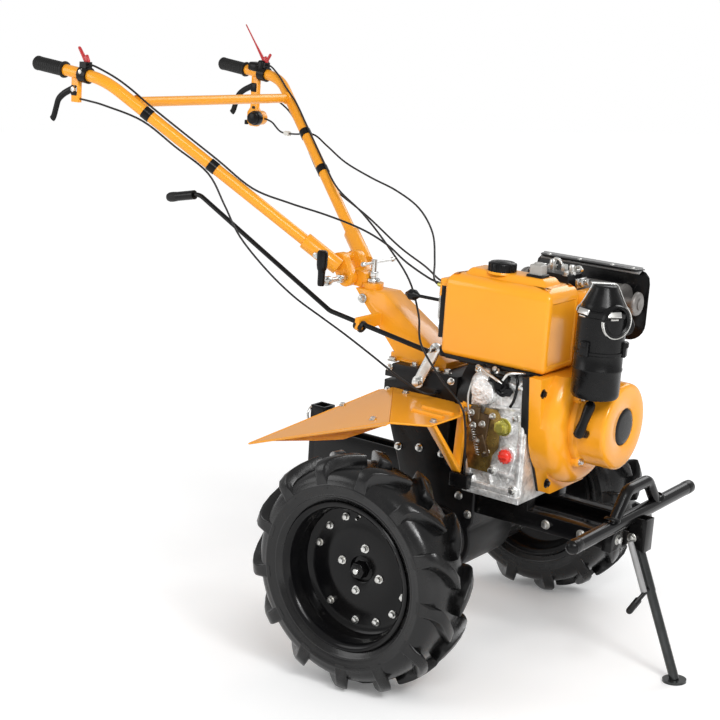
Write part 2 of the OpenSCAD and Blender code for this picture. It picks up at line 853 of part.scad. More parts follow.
module filter_cap() {
    color(black) posed() translate([filter_x, filter_y, filter_z + filter_h]) {
        cylinder(r1 = filter_r, r2 = filter_cap_r, h = filter_cap_h * 0.7);
        translate([0, 0, filter_cap_h * 0.7]) cylinder(r = filter_cap_r, h = filter_cap_h * 0.3);
    }
}

// Intake pipe from the side of the filter round to the head
module intake_elbow() {
    a = [filter_x, filter_y, elbow_z];
    knee = [filter_x, elbow_y, elbow_z];
    b = [shroud_x + duct_l, elbow_y, elbow_z];
    color(rubber) posed() difference() {
        bent_bar([a, knee, b], elbow_bend, elbow_r);
        translate([filter_x, filter_y, filter_z]) cylinder(r = filter_r, h = filter_h);
    }
}

module muffler() {
    color(black) posed() {
        translate([muffler_x, muffler_y, muffler_z]) rotate([0, 90, 0]) cylinder(r = muffler_r, h = muffler_l);
        translate([head_x + head_l / 2, head_y + head_w, muffler_z]) rotate([-90, 0, 0])
            cylinder(r = outlet_r, h = muffler_y - head_y - head_w);
        translate([muffler_x + muffler_l, muffler_y, muffler_z]) rotate([0, 90, 0])
            cylinder(r = outlet_r, h = outlet_l);
    }
}

// Sheet guard outside the muffler, with a lip folded over it
module muffler_shield() {
    color(black) posed() {
        translate([shield_x, shield_y, 0]) rotate([90, 0, 0]) linear_extrude(shield_t)
            polygon([[0, shield_low], [shield_l - shield_corner, shield_low], [shield_l, shield_low + shield_corner],
                [shield_l, shield_top], [0, shield_top]]);
        translate([shield_x, shield_y - shield_lip, shield_top - shield_t]) cube([shield_l, shield_lip, shield_t]);
        translate([muffler_x + muffler_l / 2, muffler_y, muffler_z]) rotate([-90, 0, 0])
            difference() {
                cylinder(r = outlet_r, h = shield_y - shield_t - muffler_y);
                rotate([90, 0, 90]) cylinder(r = muffler_r, h = muffler_l, center = true);
            }
    }
}

// Plate on the back of the tank that ends the cable sheaths
module cable_bracket() {
    color(zinc) posed() translate([tank_x - bracket_t, -bracket_y, bracket_z])
        cube([bracket_t, bracket_w, bracket_h]);
}

module stop_lever() {
    root = tank_x - bracket_t;
    color(black) posed() translate([root, -stop_y, stop_z]) rotate([0, -90, 0]) rotate_extrude()
        polygon([[0, 0], [stop_r, 0], [stop_r, stop_l - stop_knob_r], [stop_knob_r, stop_l],
            [stop_knob_r, stop_l + stop_knob_r], [stop_r, stop_l + 2 * stop_knob_r], [0, stop_l + 2 * stop_knob_r]]);
}

// Two channel rails that carry the engine and the bumper
module front_rails() {
    plate_x = bumper_x - front_plate_t;
    plate_low = rail_top - rail_h;
    color(black) posed() difference() {
        union() {
            both_sides() {
                difference() {
                    translate([case_front, -rail_y - rail_w / 2, plate_low])
                        cube([plate_x - case_front, rail_w, rail_h]);
                    translate([case_front - overrun, -rail_y - rail_w / 2 + rail_t, plate_low + rail_t])
                        cube([plate_x - case_front + overrun, rail_w, rail_h - 2 * rail_t]);
                }
                translate([case_front, -rail_y - rail_w / 2, rail_top])
                    cube([crankcase_front - case_front, rail_w, engine_base - rail_top]);
            }
            translate([plate_x, 0, plate_low]) cross_plate(front_plate_t)
                polygon(concat([for (q = front_plate_shares) [q[0] * front_plate_half, q[1] * (bumper_z - plate_low)]],
                    [for (i = [2 : -1 : 0]) [-front_plate_shares[i][0] * front_plate_half,
                        front_plate_shares[i][1] * (bumper_z - plate_low)]]));
        }
        translate([plate_x - overrun, -front_notch_half, plate_low - overrun])
            cube([front_plate_t + 2 * overrun, 2 * front_notch_half, rail_h + overrun]);
        translate([bumper_x, 0, bumper_z]) rotate([90, 0, 0])
            cylinder(r = bumper_r, h = 2 * bumper_half, center = true);
    }
}

module bumper_bar() {
    color(black) posed() translate([bumper_x, 0, bumper_z]) rotate([90, 0, 0])
        cylinder(r = bumper_r, h = 2 * bumper_half, center = true);
}

module bumper_hoop() {
    corner = [bumper_x, hoop_top_half, hoop_top];
    color(black) posed() both_sides() difference() {
        bent_bar([[bumper_x, hoop_half, bumper_z], corner, [bumper_x, 0, hoop_top]], hoop_bend, hoop_r);
        translate([bumper_x, 0, bumper_z]) rotate([90, 0, 0])
            cylinder(r = bumper_r, h = 2 * bumper_half, center = true);
    }
}

// Fork under the bumper with the stand's pivot pin; its front wall stops the leg
stop_lean = stand_lean + lean;
stand_bracket_front = stand_x + (stand_z - stand_bracket_low) * tan(stop_lean)
    + (leg_sleeve_r + seat_gap) / cos(stop_lean) + cheek_t;
module stand_bracket() {
    color(black) posed() difference() {
        union() {
            both_sides() translate([0, -cheek_half + cheek_t / 2, 0]) side_plate(cheek_t)
                polygon([[bumper_x, stand_z - stand_ear_r], [stand_bracket_front, stand_bracket_low],
                    [stand_bracket_front, bumper_z], [bumper_x, bumper_z]]);
            translate([stand_bracket_front - cheek_t, -cheek_half, stand_bracket_low])
                cube([cheek_t, 2 * cheek_half, bumper_z - stand_bracket_low]);
            translate([stand_x, 0, stand_z]) rotate([90, 0, 0])
                cylinder(r = pivot_pin_r, h = 2 * cheek_half, center = true);
        }
        translate([bumper_x, 0, bumper_z]) rotate([90, 0, 0])
            cylinder(r = bumper_r, h = 2 * bumper_half, center = true);
    }
}

// Right fender: a flat front, folded down along a slanting crease behind
fender_in = -box_half_w;
crease_a = [fender_crease_x, fender_in];
crease_b = [fender_out_x, -fender_out];
module fender(side) {
    turn = atan2(crease_b[1] - crease_a[1], crease_b[0] - crease_a[0]);
    function local(p) = let (d = p - crease_a)
        [d[0] * cos(turn) + d[1] * sin(turn), (-d[0] * sin(turn) + d[1] * cos(turn)) / cos(fender_fall)];
    color(yellow) difference() {
        union() {
            translate([0, 0, fender_z]) linear_extrude(fender_t)
                polygon([[fender_front, fender_in], crease_a, crease_b, [fender_front, -fender_out_front]]);
            translate([crease_a[0], crease_a[1], fender_z]) rotate([0, 0, turn]) rotate([fender_fall, 0, 0])
                linear_extrude(fender_t) polygon([local(crease_a), local([fender_heel_x, fender_in]),
                    local([fender_tip_x, -fender_tip_y]), local([fender_out_x, -fender_tip_y]), local(crease_b)]);
            for (s = rib_shares) translate([fender_crease_x / 4, along(-bell_flange_r - crank_y, -fender_out_front, s),
                fender_z + fender_t]) rotate([0, 90, 0]) intersection() {
                    cylinder(r = rib_r, h = (fender_front - fender_crease_x) / 3);
                    translate([-2 * rib_r, -rib_r, 0])
                        cube([2 * rib_r, 2 * rib_r, fender_front - fender_crease_x]);
                }
        }
        translate([-case_neck_x - overrun, side * crank_y, crank_z]) rotate([0, 90, 0])
            cylinder(r = bell_flange_r + seat_gap, h = crankcase_x + case_neck_x + 2 * overrun);
        translate([-box_rear - box_h, -box_half_w, fender_z - box_h])
            cube([box_rear + box_h, box_half_w, 2 * box_h]);
    }
}

module fender_right() posed() fender(1);
module fender_left() posed() mirror([0, 1, 0]) fender(-1);

// Flat-bar braces from a block on each side of the crankcase up to the fender
module strut_pair(face) {
    low = [-face - strut_foot_w + 2 * strut_t, strut_foot_z + strut_foot_h + strut_t];
    translate([strut_foot_x, 0, 0]) cross_plate(strut_w) {
        slot2d(low, [-fender_out_front + strut_w, fender_z - strut_t], strut_t);
        slot2d(low, [-face - 2 * strut_t, fender_z - strut_t], strut_t);
    }
}

module strut_foot(face) {
    difference() {
        translate([strut_foot_x, -face - strut_foot_w, strut_foot_z])
            cube([strut_foot_l, strut_foot_w, strut_foot_h]);
        translate([crankcase_x, -face - foot_flange_w, strut_foot_z - overrun])
            cube([crankcase_l, foot_flange_w + overrun, engine_base + foot_flange_h - strut_foot_z + overrun]);
    }
}

module fender_struts() {
    color(yellow) posed() {
        strut_pair(crankcase_right);
        mirror([0, 1, 0]) strut_pair(crankcase_left);
    }
}

module strut_feet() {
    color(black) posed() {
        strut_foot(crankcase_right);
        mirror([0, 1, 0]) strut_foot(crankcase_left);
    }
}

module rear_hitch() {
    color(black) posed() difference() {
        union() {
            translate([hitch_x - hitch_half, -hitch_half, hitch_low])
                cube([2 * hitch_half, 2 * hitch_half, hitch_top - hitch_low]);
            both_sides() translate([hitch_x, -hitch_half - hitch_t, hitch_arm_low])
                cube([-hitch_x + hitch_arm_x, hitch_t, hitch_arm_top - hitch_arm_low]);
        }
        side_plate(2 * case_half_w) polygon(case_outline);
        translate([hitch_x, 0, hitch_low - overrun]) translate([-hitch_half + hitch_t, -hitch_half + hitch_t, 0])
            cube([2 * (hitch_half - hitch_t), 2 * (hitch_half - hitch_t), hitch_top - hitch_low + 2 * overrun]);
        translate([hitch_x, 0, hitch_hole_z]) rotate([90, 0, 0])
            cylinder(r = hitch_hole_r, h = 2 * hitch_half + 2 * overrun, center = true);
    }
}

// Left handle tube: places along its straight lower leg and along its grip
tube_dir = unit(tube_knee - tube_low);
function tube_at(x) = tube_low + tube_dir * ((-x - tube_low[0]) / tube_dir[0]);
function grip_at(x) = tube_knee + grip_dir * ((-x - tube_knee[0]) / grip_dir[0]);

// Fork on the column's tongue with the two sockets of the handle tubes
module handle_head() {
    a = tube_at(socket_start_x);
    b = tube_at(socket_end_x);
    color(yellow) posed() difference() {
        union() {
            both_sides() {
                translate([0, head_cheek_in + head_cheek_t / 2, 0]) side_plate(head_cheek_t)
                    slot2d([-pivot_x, pivot_z], head_slot, head_r);
                rod(a, b, socket_r);
            }
            translate([head_bar[0], 0, head_bar[1]]) rotate([90, 0, 0])
                cylinder(r = head_bar_r, h = 2 * (head_cheek_in + head_cheek_t), center = true);
        }
        both_sides() rod(along(a, b, 0.3), along(a, b, 1.1), tube_r + slip_fit);
        translate([-pivot_x, 0, pivot_z]) rotate([90, 0, 0])
            cylinder(r = clamp_r + running_fit, h = 4 * head_cheek_t + 2 * head_cheek_in, center = true);
    }
}

module handle_tube() {
    a = tube_at(socket_start_x);
    b = tube_at(socket_end_x);
    color(yellow) bent_bar([along(a, b, 0.3), tube_knee, grip_end - grip_dir * grip_r], tube_bend, tube_r);
}

module handle_tube_left() posed() handle_tube();
module handle_tube_right() posed() mirror([0, 1, 0]) handle_tube();

module crossbar() {
    end = tube_at(crossbar_x);
    color(yellow) posed() difference() {
        translate([end[0], 0, end[2]]) rotate([90, 0, 0]) cylinder(r = crossbar_r, h = 2 * end[1], center = true);
        both_sides() rod(tube_at(socket_end_x), tube_knee, tube_r);
    }
}

module grips() {
    start = grip_end - grip_dir * grip_l;
    color(black) posed() both_sides() difference() {
        rod(start, grip_end, grip_r);
        rod(start - grip_dir * overrun, grip_end - grip_dir * (grip_r - slip_fit), tube_r + slip_fit);
    }
}

// Welded lugs under the grips that hold the steering levers, and the round switch on the left one
lug_at = grip_at(lug_x);
switch_at = lug_at + [switch_fwd, 0, -lug_drop - switch_drop];
module lever_lugs() {
    color(yellow) posed() {
        both_sides() difference() {
            translate(lug_at + [-lug_half_l, -lug_half_w, -lug_drop]) cube([2 * lug_half_l, 2 * lug_half_w, lug_drop]);
            rod(tube_knee, grip_end, tube_r);
        }
        translate(lug_at + [-lug_half_l, -lug_half_w, -lug_drop - switch_drop])
            cube([2 * lug_half_l, 2 * lug_half_w, switch_drop]);
        translate(switch_at + [0, switch_l / 2, 0]) rotate([90, 0, 0]) cylinder(r = switch_r, h = switch_l);
    }
}

module steering_levers() {
    root = [lug_at[0] - lug_half_l, lug_at[2]];
    pts = [for (s = brake_shares) root + [-s[0] * brake_l - brake_r, -s[1] * lug_drop]];
    color(black) posed() both_sides() translate([0, lug_at[1], 0]) side_plate(2 * brake_half_t)
        slots2d(pts, brake_r);
}

thumb_at = grip_at(thumb_x);
module lever_housings() {
    color(black) posed() both_sides() difference() {
        union() {
            rod(thumb_at - grip_dir * thumb_ring_l / 2, thumb_at + grip_dir * thumb_ring_l / 2, thumb_ring_r);
            translate(thumb_at + [-thumb_block / 2, -thumb_block / 2, 0])
                cube([thumb_block, thumb_block, thumb_ring_r + thumb_block / 2]);
        }
        rod(tube_knee, grip_end, tube_r + slip_fit);
    }
}

// Red throttle lever on the right and red clutch lever on the left
module thumb_levers() {
    base = [thumb_at[0], thumb_at[2] + thumb_ring_r + thumb_block / 2];
    module lever(l) side_plate(2 * thumb_r) difference() {
        slot2d(base, base + [-0.6 * l, 0.8 * l], thumb_r);
        translate(base - [2 * thumb_r, 2 * thumb_r]) square([4 * thumb_r, 2 * thumb_r]);
    }
    color(red) posed() {
        translate([0, thumb_at[1], 0]) lever(clutch_len);
        translate([0, -thumb_at[1], 0]) lever(thumb_len);
    }
}

module switch_cap() {
    color(black) posed() translate(switch_at + [0, -switch_l / 2, 0]) rotate([90, 0, 0])
        cylinder(r = switch_cap_r, h = switch_cap_l);
}

module cable_clips() {
    module clip(x) difference() {
        rod(tube_at(x) - tube_dir * clip_l / 2, tube_at(x) + tube_dir * clip_l / 2, clip_r);
        rod(tube_at(x) - tube_dir * clip_l, tube_at(x) + tube_dir * clip_l, tube_r + slip_fit);
    }
    color(black) posed() {
        for (x = clips_left) clip(x);
        for (x = clips_right) mirror([0, 1, 0]) clip(x);
    }
}

// Bolt through fork and tongue with the upright black handle on its right end
module tilt_clamp() {
    color(black) posed() translate([-pivot_x, 0, pivot_z]) {
        translate([0, -clamp_out, 0]) rotate([-90, 0, 0])
            cylinder(r = clamp_r, h = clamp_out + head_cheek_in + head_cheek_t);
        translate([0, -clamp_out, -knob_low]) cylinder(r = knob_r, h = knob_low + knob_up);
    }
}

// Stand frame: origin on the pivot, -Z down the leg
module on_stand() {
    translate([origin_x + posed_x(stand_pivot), 0, posed_z(stand_pivot)]) rotate([0, -stand_lean, 0]) children();
}

module stand_leg() {
    color(black) {
        on_stand() difference() {
            union() {
                rotate([90, 0, 0]) cylinder(r = leg_boss_r, h = 2 * leg_boss_half, center = true);
                translate([0, 0, -leg_sleeve_l]) cylinder(r = leg_sleeve_r, h = leg_sleeve_l);
                translate([0, 0, -leg_l]) cylinder(r = leg_r, h = leg_l);
            }
            rotate([90, 0, 0]) cylinder(r = pivot_pin_r + running_fit, h = 4 * leg_boss_half, center = true);
        }
        translate([origin_x + foot_x, 0, 0]) cylinder(r = foot_r, h = foot_t);
    }
}

// Foot pedal on the right of the leg, and the bright spring rod above it
module stand_pedal() {
    color(black) on_stand() difference() {
        union() {
            rod([0, 0, -pedal_at], [0, -pedal_out, -pedal_at - pedal_drop], pedal_r);
            rod([0, -pedal_out, -pedal_at - pedal_drop],
                [0, -pedal_out - pedal_pad_l, -pedal_at - pedal_drop * 1.4], pedal_pad_r);
        }
        translate([0, 0, -leg_l]) cylinder(r = leg_sleeve_r, h = leg_l);
    }
}

module stand_link() {
    foot = [0, -cheek_half - link_r - move_gap, -pedal_at - pedal_drop * (cheek_half + link_r + move_gap) / pedal_out];
    color(zinc) on_stand() difference() {
        translate(foot + [0, 0, pedal_r / 2]) cylinder(r = link_r, h = -link_top - foot[2] - pedal_r / 2);
        rod([0, 0, -pedal_at], [0, -pedal_out, -pedal_at - pedal_drop], pedal_r);
    }
}

module cable_steer_right() posed() cable(steer_right_route);
module cable_steer_left() posed() cable(steer_left_route);
module cable_throttle() posed() cable(throttle_route);
module cable_clutch() posed() cable(clutch_route);
module cable_stop() posed() cable(stop_route);

gear_case();
shift_box();
clutch_bell();
shift_arm();
gear_lever();
column();
swivel_head();
swivel_pin();
crankcase();
cylinder_head();
control_plate();
oil_cap();
shroud_gasket();
fan_shroud();
recoil_cover();
recoil_handle();
fuel_tank();
tank_cap();
air_filter();
filter_cap();
intake_elbow();
muffler();
muffler_shield();
cable_bracket();
stop_lever();
front_rails();
bumper_bar();
bumper_hoop();
stand_bracket();
fender_right();
fender_left();
fender_struts();
strut_feet();
rear_hitch();
handle_head();
handle_tube_right();
handle_tube_left();
crossbar();
grips();
lever_lugs();
steering_levers();
lever_housings();
thumb_levers();
switch_cap();
cable_clips();
tilt_clamp();
tyre(false);  // tyre_right
rim(false);  // rim_right
hub(false);  // hub_right
tyre(true);  // tyre_left
rim(true);  // rim_left
hub(true);  // hub_left
stand_leg();
stand_pedal();
stand_link();
cable_steer_right();
cable_steer_left();
cable_throttle();
cable_clutch();
cable_stop();
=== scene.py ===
from math import atan2, cos, pi, radians, sin, tan, tau

import bmesh
import bpy
from mathutils import Matrix, Vector


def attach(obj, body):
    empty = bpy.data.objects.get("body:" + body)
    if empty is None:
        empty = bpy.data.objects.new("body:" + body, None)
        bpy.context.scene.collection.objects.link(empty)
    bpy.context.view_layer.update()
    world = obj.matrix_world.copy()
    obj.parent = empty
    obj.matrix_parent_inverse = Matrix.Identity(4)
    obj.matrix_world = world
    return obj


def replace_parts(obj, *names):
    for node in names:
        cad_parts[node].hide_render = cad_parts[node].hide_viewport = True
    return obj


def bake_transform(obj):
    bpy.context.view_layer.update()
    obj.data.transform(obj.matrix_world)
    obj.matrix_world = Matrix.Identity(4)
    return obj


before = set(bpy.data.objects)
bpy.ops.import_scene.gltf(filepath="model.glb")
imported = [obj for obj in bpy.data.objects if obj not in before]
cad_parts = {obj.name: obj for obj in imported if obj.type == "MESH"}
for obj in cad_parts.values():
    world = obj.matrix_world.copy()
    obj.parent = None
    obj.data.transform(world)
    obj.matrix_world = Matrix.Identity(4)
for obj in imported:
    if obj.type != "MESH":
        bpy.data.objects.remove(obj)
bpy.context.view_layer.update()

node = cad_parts
scene = bpy.context.scene

# The studio: a white floor that brightens with distance, a white backdrop and four soft disc lamps that
# lay long highlights on the gloss paint. The camera stands at the front right, a little above the tank.
white = (1, 1, 1, 1)
camera_place = (2.130853, -3.0276, 1.3418)
yaw, pitch, roll = radians(126.10), radians(10.49), radians(-0.55)
sensor_mm, focal_px, image_px = 36, 1520.58, 720


def at(x, y, z):
    return Matrix.Translation((x, y, z))


def turned(angle, axis):
    return Matrix.Rotation(angle, 4, axis)


def preset(target, values):
    for label, value in values.items():
        target.inputs[label].default_value = value


def wired(tree, *wires):
    for source, outlet, target, inlet in wires:
        tree.links.new(source.outputs[outlet], target.inputs[inlet])


ahead = Vector((cos(yaw) * cos(pitch), sin(yaw) * cos(pitch), -sin(pitch)))
level = ahead.cross(Vector((0, 0, 1))).normalized()
over = level.cross(ahead)
image_right = cos(roll) * level + sin(roll) * over
image_up = cos(roll) * over - sin(roll) * level
camera = bpy.data.objects.new("camera", bpy.data.cameras.new("camera"))
scene.collection.objects.link(camera)
camera.data.sensor_width = sensor_mm
camera.data.lens = sensor_mm * focal_px / image_px
camera.matrix_world = at(*camera_place) @ Matrix((image_right, image_up, -ahead)).transposed().to_4x4()
scene.camera = camera

floor_mesh = bpy.data.meshes.new("floor")
bm = bmesh.new()
bmesh.ops.create_grid(bm, x_segments=2, y_segments=2, size=30)
bm.to_mesh(floor_mesh)
bm.free()
floor = bpy.data.objects.new("floor", floor_mesh)
scene.collection.objects.link(floor)
floor_white = bpy.data.materials.new("floor_white")
floor_white.use_nodes = True
tree = floor_white.node_tree
shader = tree.nodes["Principled BSDF"]
preset(shader, {"Base Color": (0.97, 0.97, 0.97, 1), "Roughness": 0.7, "Emission Color": white})
spot = tree.nodes.new("ShaderNodeTexCoord")
reach = tree.nodes.new("ShaderNodeVectorMath")
reach.operation = "LENGTH"
fade = tree.nodes.new("ShaderNodeMapRange")
preset(fade, {"From Min": 1.0, "From Max": 4.5, "To Min": 0.12, "To Max": 0.5})
wired(tree, (spot, "Object", reach, 0), (reach, "Value", fade, "Value"),
      (fade, "Result", shader, "Emission Strength"))
floor_mesh.materials.append(floor_white)

sky = bpy.data.worlds.new("studio")
scene.world = sky
sky.use_nodes = True
tree = sky.node_tree
glow = tree.nodes["Background"]
preset(glow, {"Color": white, "Strength": 0.55})
backdrop = tree.nodes.new("ShaderNodeBackground")
preset(backdrop, {"Color": white})
seen = tree.nodes.new("ShaderNodeLightPath")
choice = tree.nodes.new("ShaderNodeMixShader")
wired(tree, (seen, "Is Camera Ray", choice, "Fac"), (glow, "Background", choice, 1),
      (backdrop, "Background", choice, 2), (choice, "Shader", tree.nodes["World Output"], "Surface"))
for name, place, aim, size, power in (
    ("key_lamp", (2.6, -2.6, 3.2), (0.2, 0, 0.7), 1.8, 58),
    ("fill_lamp", (-2.6, -2.8, 2.2), (0, 0, 0.7), 2.2, 32),
    ("rim_lamp", (0.5, 3.2, 3.0), (0.2, 0, 0.8), 2.4, 45),
    ("front_lamp", (3.2, -1.8, 2.6), (0.25, -0.45, 0.35), 0.9, 55),
):
    lamp = bpy.data.objects.new(name, bpy.data.lights.new(name, "AREA"))
    lamp.data.shape = "DISK"
    lamp.data.size = size
    lamp.data.energy = power
    aimed = (Vector(aim) - Vector(place)).to_track_quat("-Z", "Y").to_matrix().to_4x4()
    lamp.matrix_world = at(*place) @ aimed
    scene.collection.objects.link(lamp)
scene.view_settings.view_transform = "Standard"

# The control cables: five black sheathed cables of 5 mm, clipped along the handle tubes and then
# hanging free to the engine and the shift box.
# The machine parks leaning 5.2 degrees; sizes from here on are millimetres on the leaning chassis.
axle_fwd, axle_high = 0.220753, 0.269
lean, crease_angle = radians(5.2), radians(38)
millimetres = Matrix.Scale(0.001, 4)
chassis = at(axle_fwd, 0, axle_high) @ turned(lean, "Y") @ at(0.029, 0, 0.012)
chassis_mm = chassis @ millimetres


def add_piece(name, bm, material, body="machine", spot=Matrix(), base=chassis_mm):
    place = base @ spot
    bmesh.ops.transform(bm, matrix=place, verts=bm.verts)
    if place.determinant() < 0:
        bmesh.ops.reverse_faces(bm, faces=bm.faces)
    mesh = bpy.data.meshes.new(name)
    bm.to_mesh(mesh)
    bm.free()
    for face in mesh.polygons:
        face.use_smooth = True
    mesh.set_sharp_from_angle(angle=crease_angle)
    mesh.materials.append(material)
    piece = bpy.data.objects.new(name, mesh)
    scene.collection.objects.link(piece)
    if body:
        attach(piece, body)
    return piece


# Every finish shares one group: two colours mixed by blotches, a gloss that varies, and a fine relief.
surface = bpy.data.node_groups.new("surface_variation", "ShaderNodeTree")
for way, kind, labels in (
    ("INPUT", "NodeSocketColor", ("Colour", "Blotch Colour")),
    ("INPUT", "NodeSocketFloat", ("Blotch Scale", "Blotch Amount", "Gloss Low", "Gloss High", "Grain Scale")),
    ("OUTPUT", "NodeSocketColor", ("Colour",)),
    ("OUTPUT", "NodeSocketFloat", ("Roughness", "Height")),
):
    for label in labels:
        surface.interface.new_socket(name=label, in_out=way, socket_type=kind)
inside = surface.nodes.new("NodeGroupInput")
outside = surface.nodes.new("NodeGroupOutput")
where = surface.nodes.new("ShaderNodeTexCoord")
blotch = surface.nodes.new("ShaderNodeTexNoise")
preset(blotch, {"Detail": 7, "Roughness": 0.62})
contrast = surface.nodes.new("ShaderNodeMapRange")
preset(contrast, {"From Min": 0.42, "From Max": 0.72})
strength = surface.nodes.new("ShaderNodeMath")
strength.operation = "MULTIPLY"
tint = surface.nodes.new("ShaderNodeMix")
tint.data_type = "RGBA"
colour_a, colour_b, colour_out = 6, 7, 2
gloss = surface.nodes.new("ShaderNodeMapRange")
preset(gloss, {"From Min": 0.3, "From Max": 0.7})
grain = surface.nodes.new("ShaderNodeTexNoise")
preset(grain, {"Detail": 4})
wired(surface, (where, "Object", blotch, "Vector"), (inside, "Blotch Scale", blotch, "Scale"),
      (blotch, "Fac", contrast, "Value"), (contrast, "Result", strength, 0),
      (inside, "Blotch Amount", strength, 1), (strength, "Value", tint, "Factor"),
      (inside, "Colour", tint, colour_a), (inside, "Blotch Colour", tint, colour_b),
      (tint, colour_out, outside, "Colour"), (blotch, "Fac", gloss, "Value"),
      (inside, "Gloss Low", gloss, "To Min"), (inside, "Gloss High", gloss, "To Max"),
      (gloss, "Result", outside, "Roughness"), (where, "Object", grain, "Vector"),
      (inside, "Grain Scale", grain, "Scale"), (grain, "Fac", outside, "Height"))


def finish_of(name, colour, blotch_colour, blotches, gloss_range, relief, metal=0.0, coat=0.0, shine=0.5, slot=None):
    material = bpy.data.materials.new(name)
    material["slot"] = slot or name
    material.use_nodes = True
    tree = material.node_tree
    shader = tree.nodes["Principled BSDF"]
    skin = tree.nodes.new("ShaderNodeGroup")
    skin.node_tree = surface
    preset(skin, {"Colour": (*colour, 1), "Blotch Colour": (*blotch_colour, 1), "Grain Scale": relief[0],
                  "Blotch Scale": blotches[0], "Blotch Amount": blotches[1],
                  "Gloss Low": gloss_range[0], "Gloss High": gloss_range[1]})
    bump = tree.nodes.new("ShaderNodeBump")
    preset(bump, {"Strength": 1.0, "Distance": relief[1]})
    wired(tree, (skin, "Height", bump, "Height"), (skin, "Colour", shader, "Base Color"),
          (skin, "Roughness", shader, "Roughness"), (bump, "Normal", shader, "Normal"))
    preset(shader, {"Metallic": metal, "Coat Weight": coat, "Specular IOR Level": shine})
    return material


cable_sheath = finish_of(
    "cable_sheath", (0.008, 0.008, 0.009), (0.020, 0.020, 0.021), (40, 0.5), (0.3, 0.45), (900, 0.00004),
    shine=0.3)
cable_r = 2.5
routes = {
    "cable_steer_right": (
        (-1014.3, -345, 932), (-986, -345, 930), (-935, -335, 922), (-849, -295, 893), (-775, -254, 836),
        (-700, -215, 778), (-655, -200, 704), (-610, -190, 632), (-535, -174, 560), (-455, -162, 505),
        (-370, -155, 466), (-300, -155, 438), (-220, -150, 400), (-150, -145, 365), (-90, -130, 335),
        (-70, -112, 330), (-70, -95, 330)),
    "cable_steer_left": (
        (-1014.3, 345, 932), (-986, 345, 930), (-935, 335, 922), (-855, 299, 893), (-772, 253.5, 833.5),
        (-665, 196.5, 751), (-585, 178, 716), (-465, 140, 676), (-315, 75, 625), (-200, 20, 600),
        (-120, -40, 588), (-85, -58, 588), (-62.2, -60, 588)),
    "cable_throttle": (
        (-986.2, -344, 1018), (-965, -338, 1013), (-920, -318, 991), (-880, -300, 964),
        (-829, -283.5, 927.5), (-755, -244, 870), (-680, -204, 812.5), (-600, -162, 750), (-520, -118, 722),
        (-435, -75, 700), (-345, -50, 676), (-270, -45, 648), (-200, -62, 618), (-120, -75, 592),
        (-80, -78, 588), (-62.2, -78, 588)),
    "cable_clutch": (
        (-986.2, 344, 1018), (-965, 338, 1013), (-920, 318, 991), (-880, 300, 964), (-829, 283.5, 927.5),
        (-752, 242, 868.5), (-645, 185, 786), (-560, 135, 735), (-440, 85, 690), (-310, 20, 630),
        (-210, -30, 570), (-140, -85, 505), (-95, -135, 450), (-20, -160, 388), (46, -168, 338),
        (62, -167, 290), (62, -158, 220), (60, -150, 174.4)),
    "cable_stop": (
        (-987.9, 345, 868), (-955, 338, 861), (-905, 318, 840), (-835, 292, 842), (-752, 266, 851),
        (-685, 243, 828), (-600, 215, 795), (-500, 195, 768), (-395, 160, 750), (-290, 112, 722),
        (-205, 50, 678), (-145, -25, 628), (-108, -80, 598), (-84, -97, 588), (-62.2, -97, 588)),
}


def smooth_line(points, steps=6):
    points = [Vector(p) for p in points]
    line = []
    for i in range(len(points) - 1):
        a, b, c, d = (points[min(max(i + k, 0), len(points) - 1)] for k in (-1, 0, 1, 2))
        bow, twist = 2 * a - 5 * b + 4 * c - d, 3 * b - a - 3 * c + d
        for s in range(steps):
            t = s / steps
            line.append(0.5 * (2 * b + (c - a) * t + bow * t * t + twist * t ** 3))
    line.append(points[-1])
    return line


def tube(line, radius, sides=12):
    bm = bmesh.new()
    normal = last = None
    for i, point in enumerate(line):
        heading = (line[min(i + 1, len(line) - 1)] - line[max(i - 1, 0)]).normalized()
        normal = normal - heading * heading.dot(normal) if normal else heading.orthogonal()
        normal.normalize()
        now = at(*point) @ Matrix((normal, heading.cross(normal), heading)).transposed().to_4x4()
        if last is None:
            bmesh.ops.create_circle(bm, cap_ends=True, segments=sides, radius=radius, matrix=now)
            edges = list(bm.edges)
        else:
            grown = bmesh.ops.extrude_edge_only(bm, edges=edges)["geom"]
            moved = [v for v in grown if isinstance(v, bmesh.types.BMVert)]
            bmesh.ops.transform(bm, matrix=now @ last.inverted(), verts=moved)
            edges = [e for e in grown if isinstance(e, bmesh.types.BMEdge)]
        last = now
    bmesh.ops.contextual_create(bm, geom=edges)
    bmesh.ops.recalc_face_normals(bm, faces=bm.faces)
    return bm


for name, points in routes.items():
    line = smooth_line(points)
    cable = add_piece(name + "_sheath", tube(line, cable_r), cable_sheath, None)
    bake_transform(cable)
    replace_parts(cable, name)

# The gear case: a black painted iron casting with ribbed axle housings on its sides, split down the
# middle and bolted, with turned steel seal rings where the axles come out.
black_paint = finish_of(
    "black_paint", (0.0035, 0.0035, 0.004), (0.010, 0.009, 0.008), (9, 0.5), (0.12, 0.28), (420, 0.00006),
    shine=0.2)
black_cast = finish_of(
    "black_cast", (0.0045, 0.0045, 0.005), (0.014, 0.012, 0.011), (14, 0.6), (0.24, 0.42), (260, 0.0004),
    shine=0.22, slot="black_paint")
zinc = finish_of(
    "zinc", (0.70, 0.70, 0.68), (0.44, 0.42, 0.38), (30, 0.7), (0.20, 0.40), (600, 0.00006), metal=1.0)
sides = (-1, 1)
to_front, to_rear, to_left, to_right, to_top = (1, 0, 0), (-1, 0, 0), (0, 1, 0), (0, -1, 0), (0, 0, 1)
axle_x, axle_z, case_half = -29, -12, 100
hex_corner, washer_thick = 0.577, 1.6


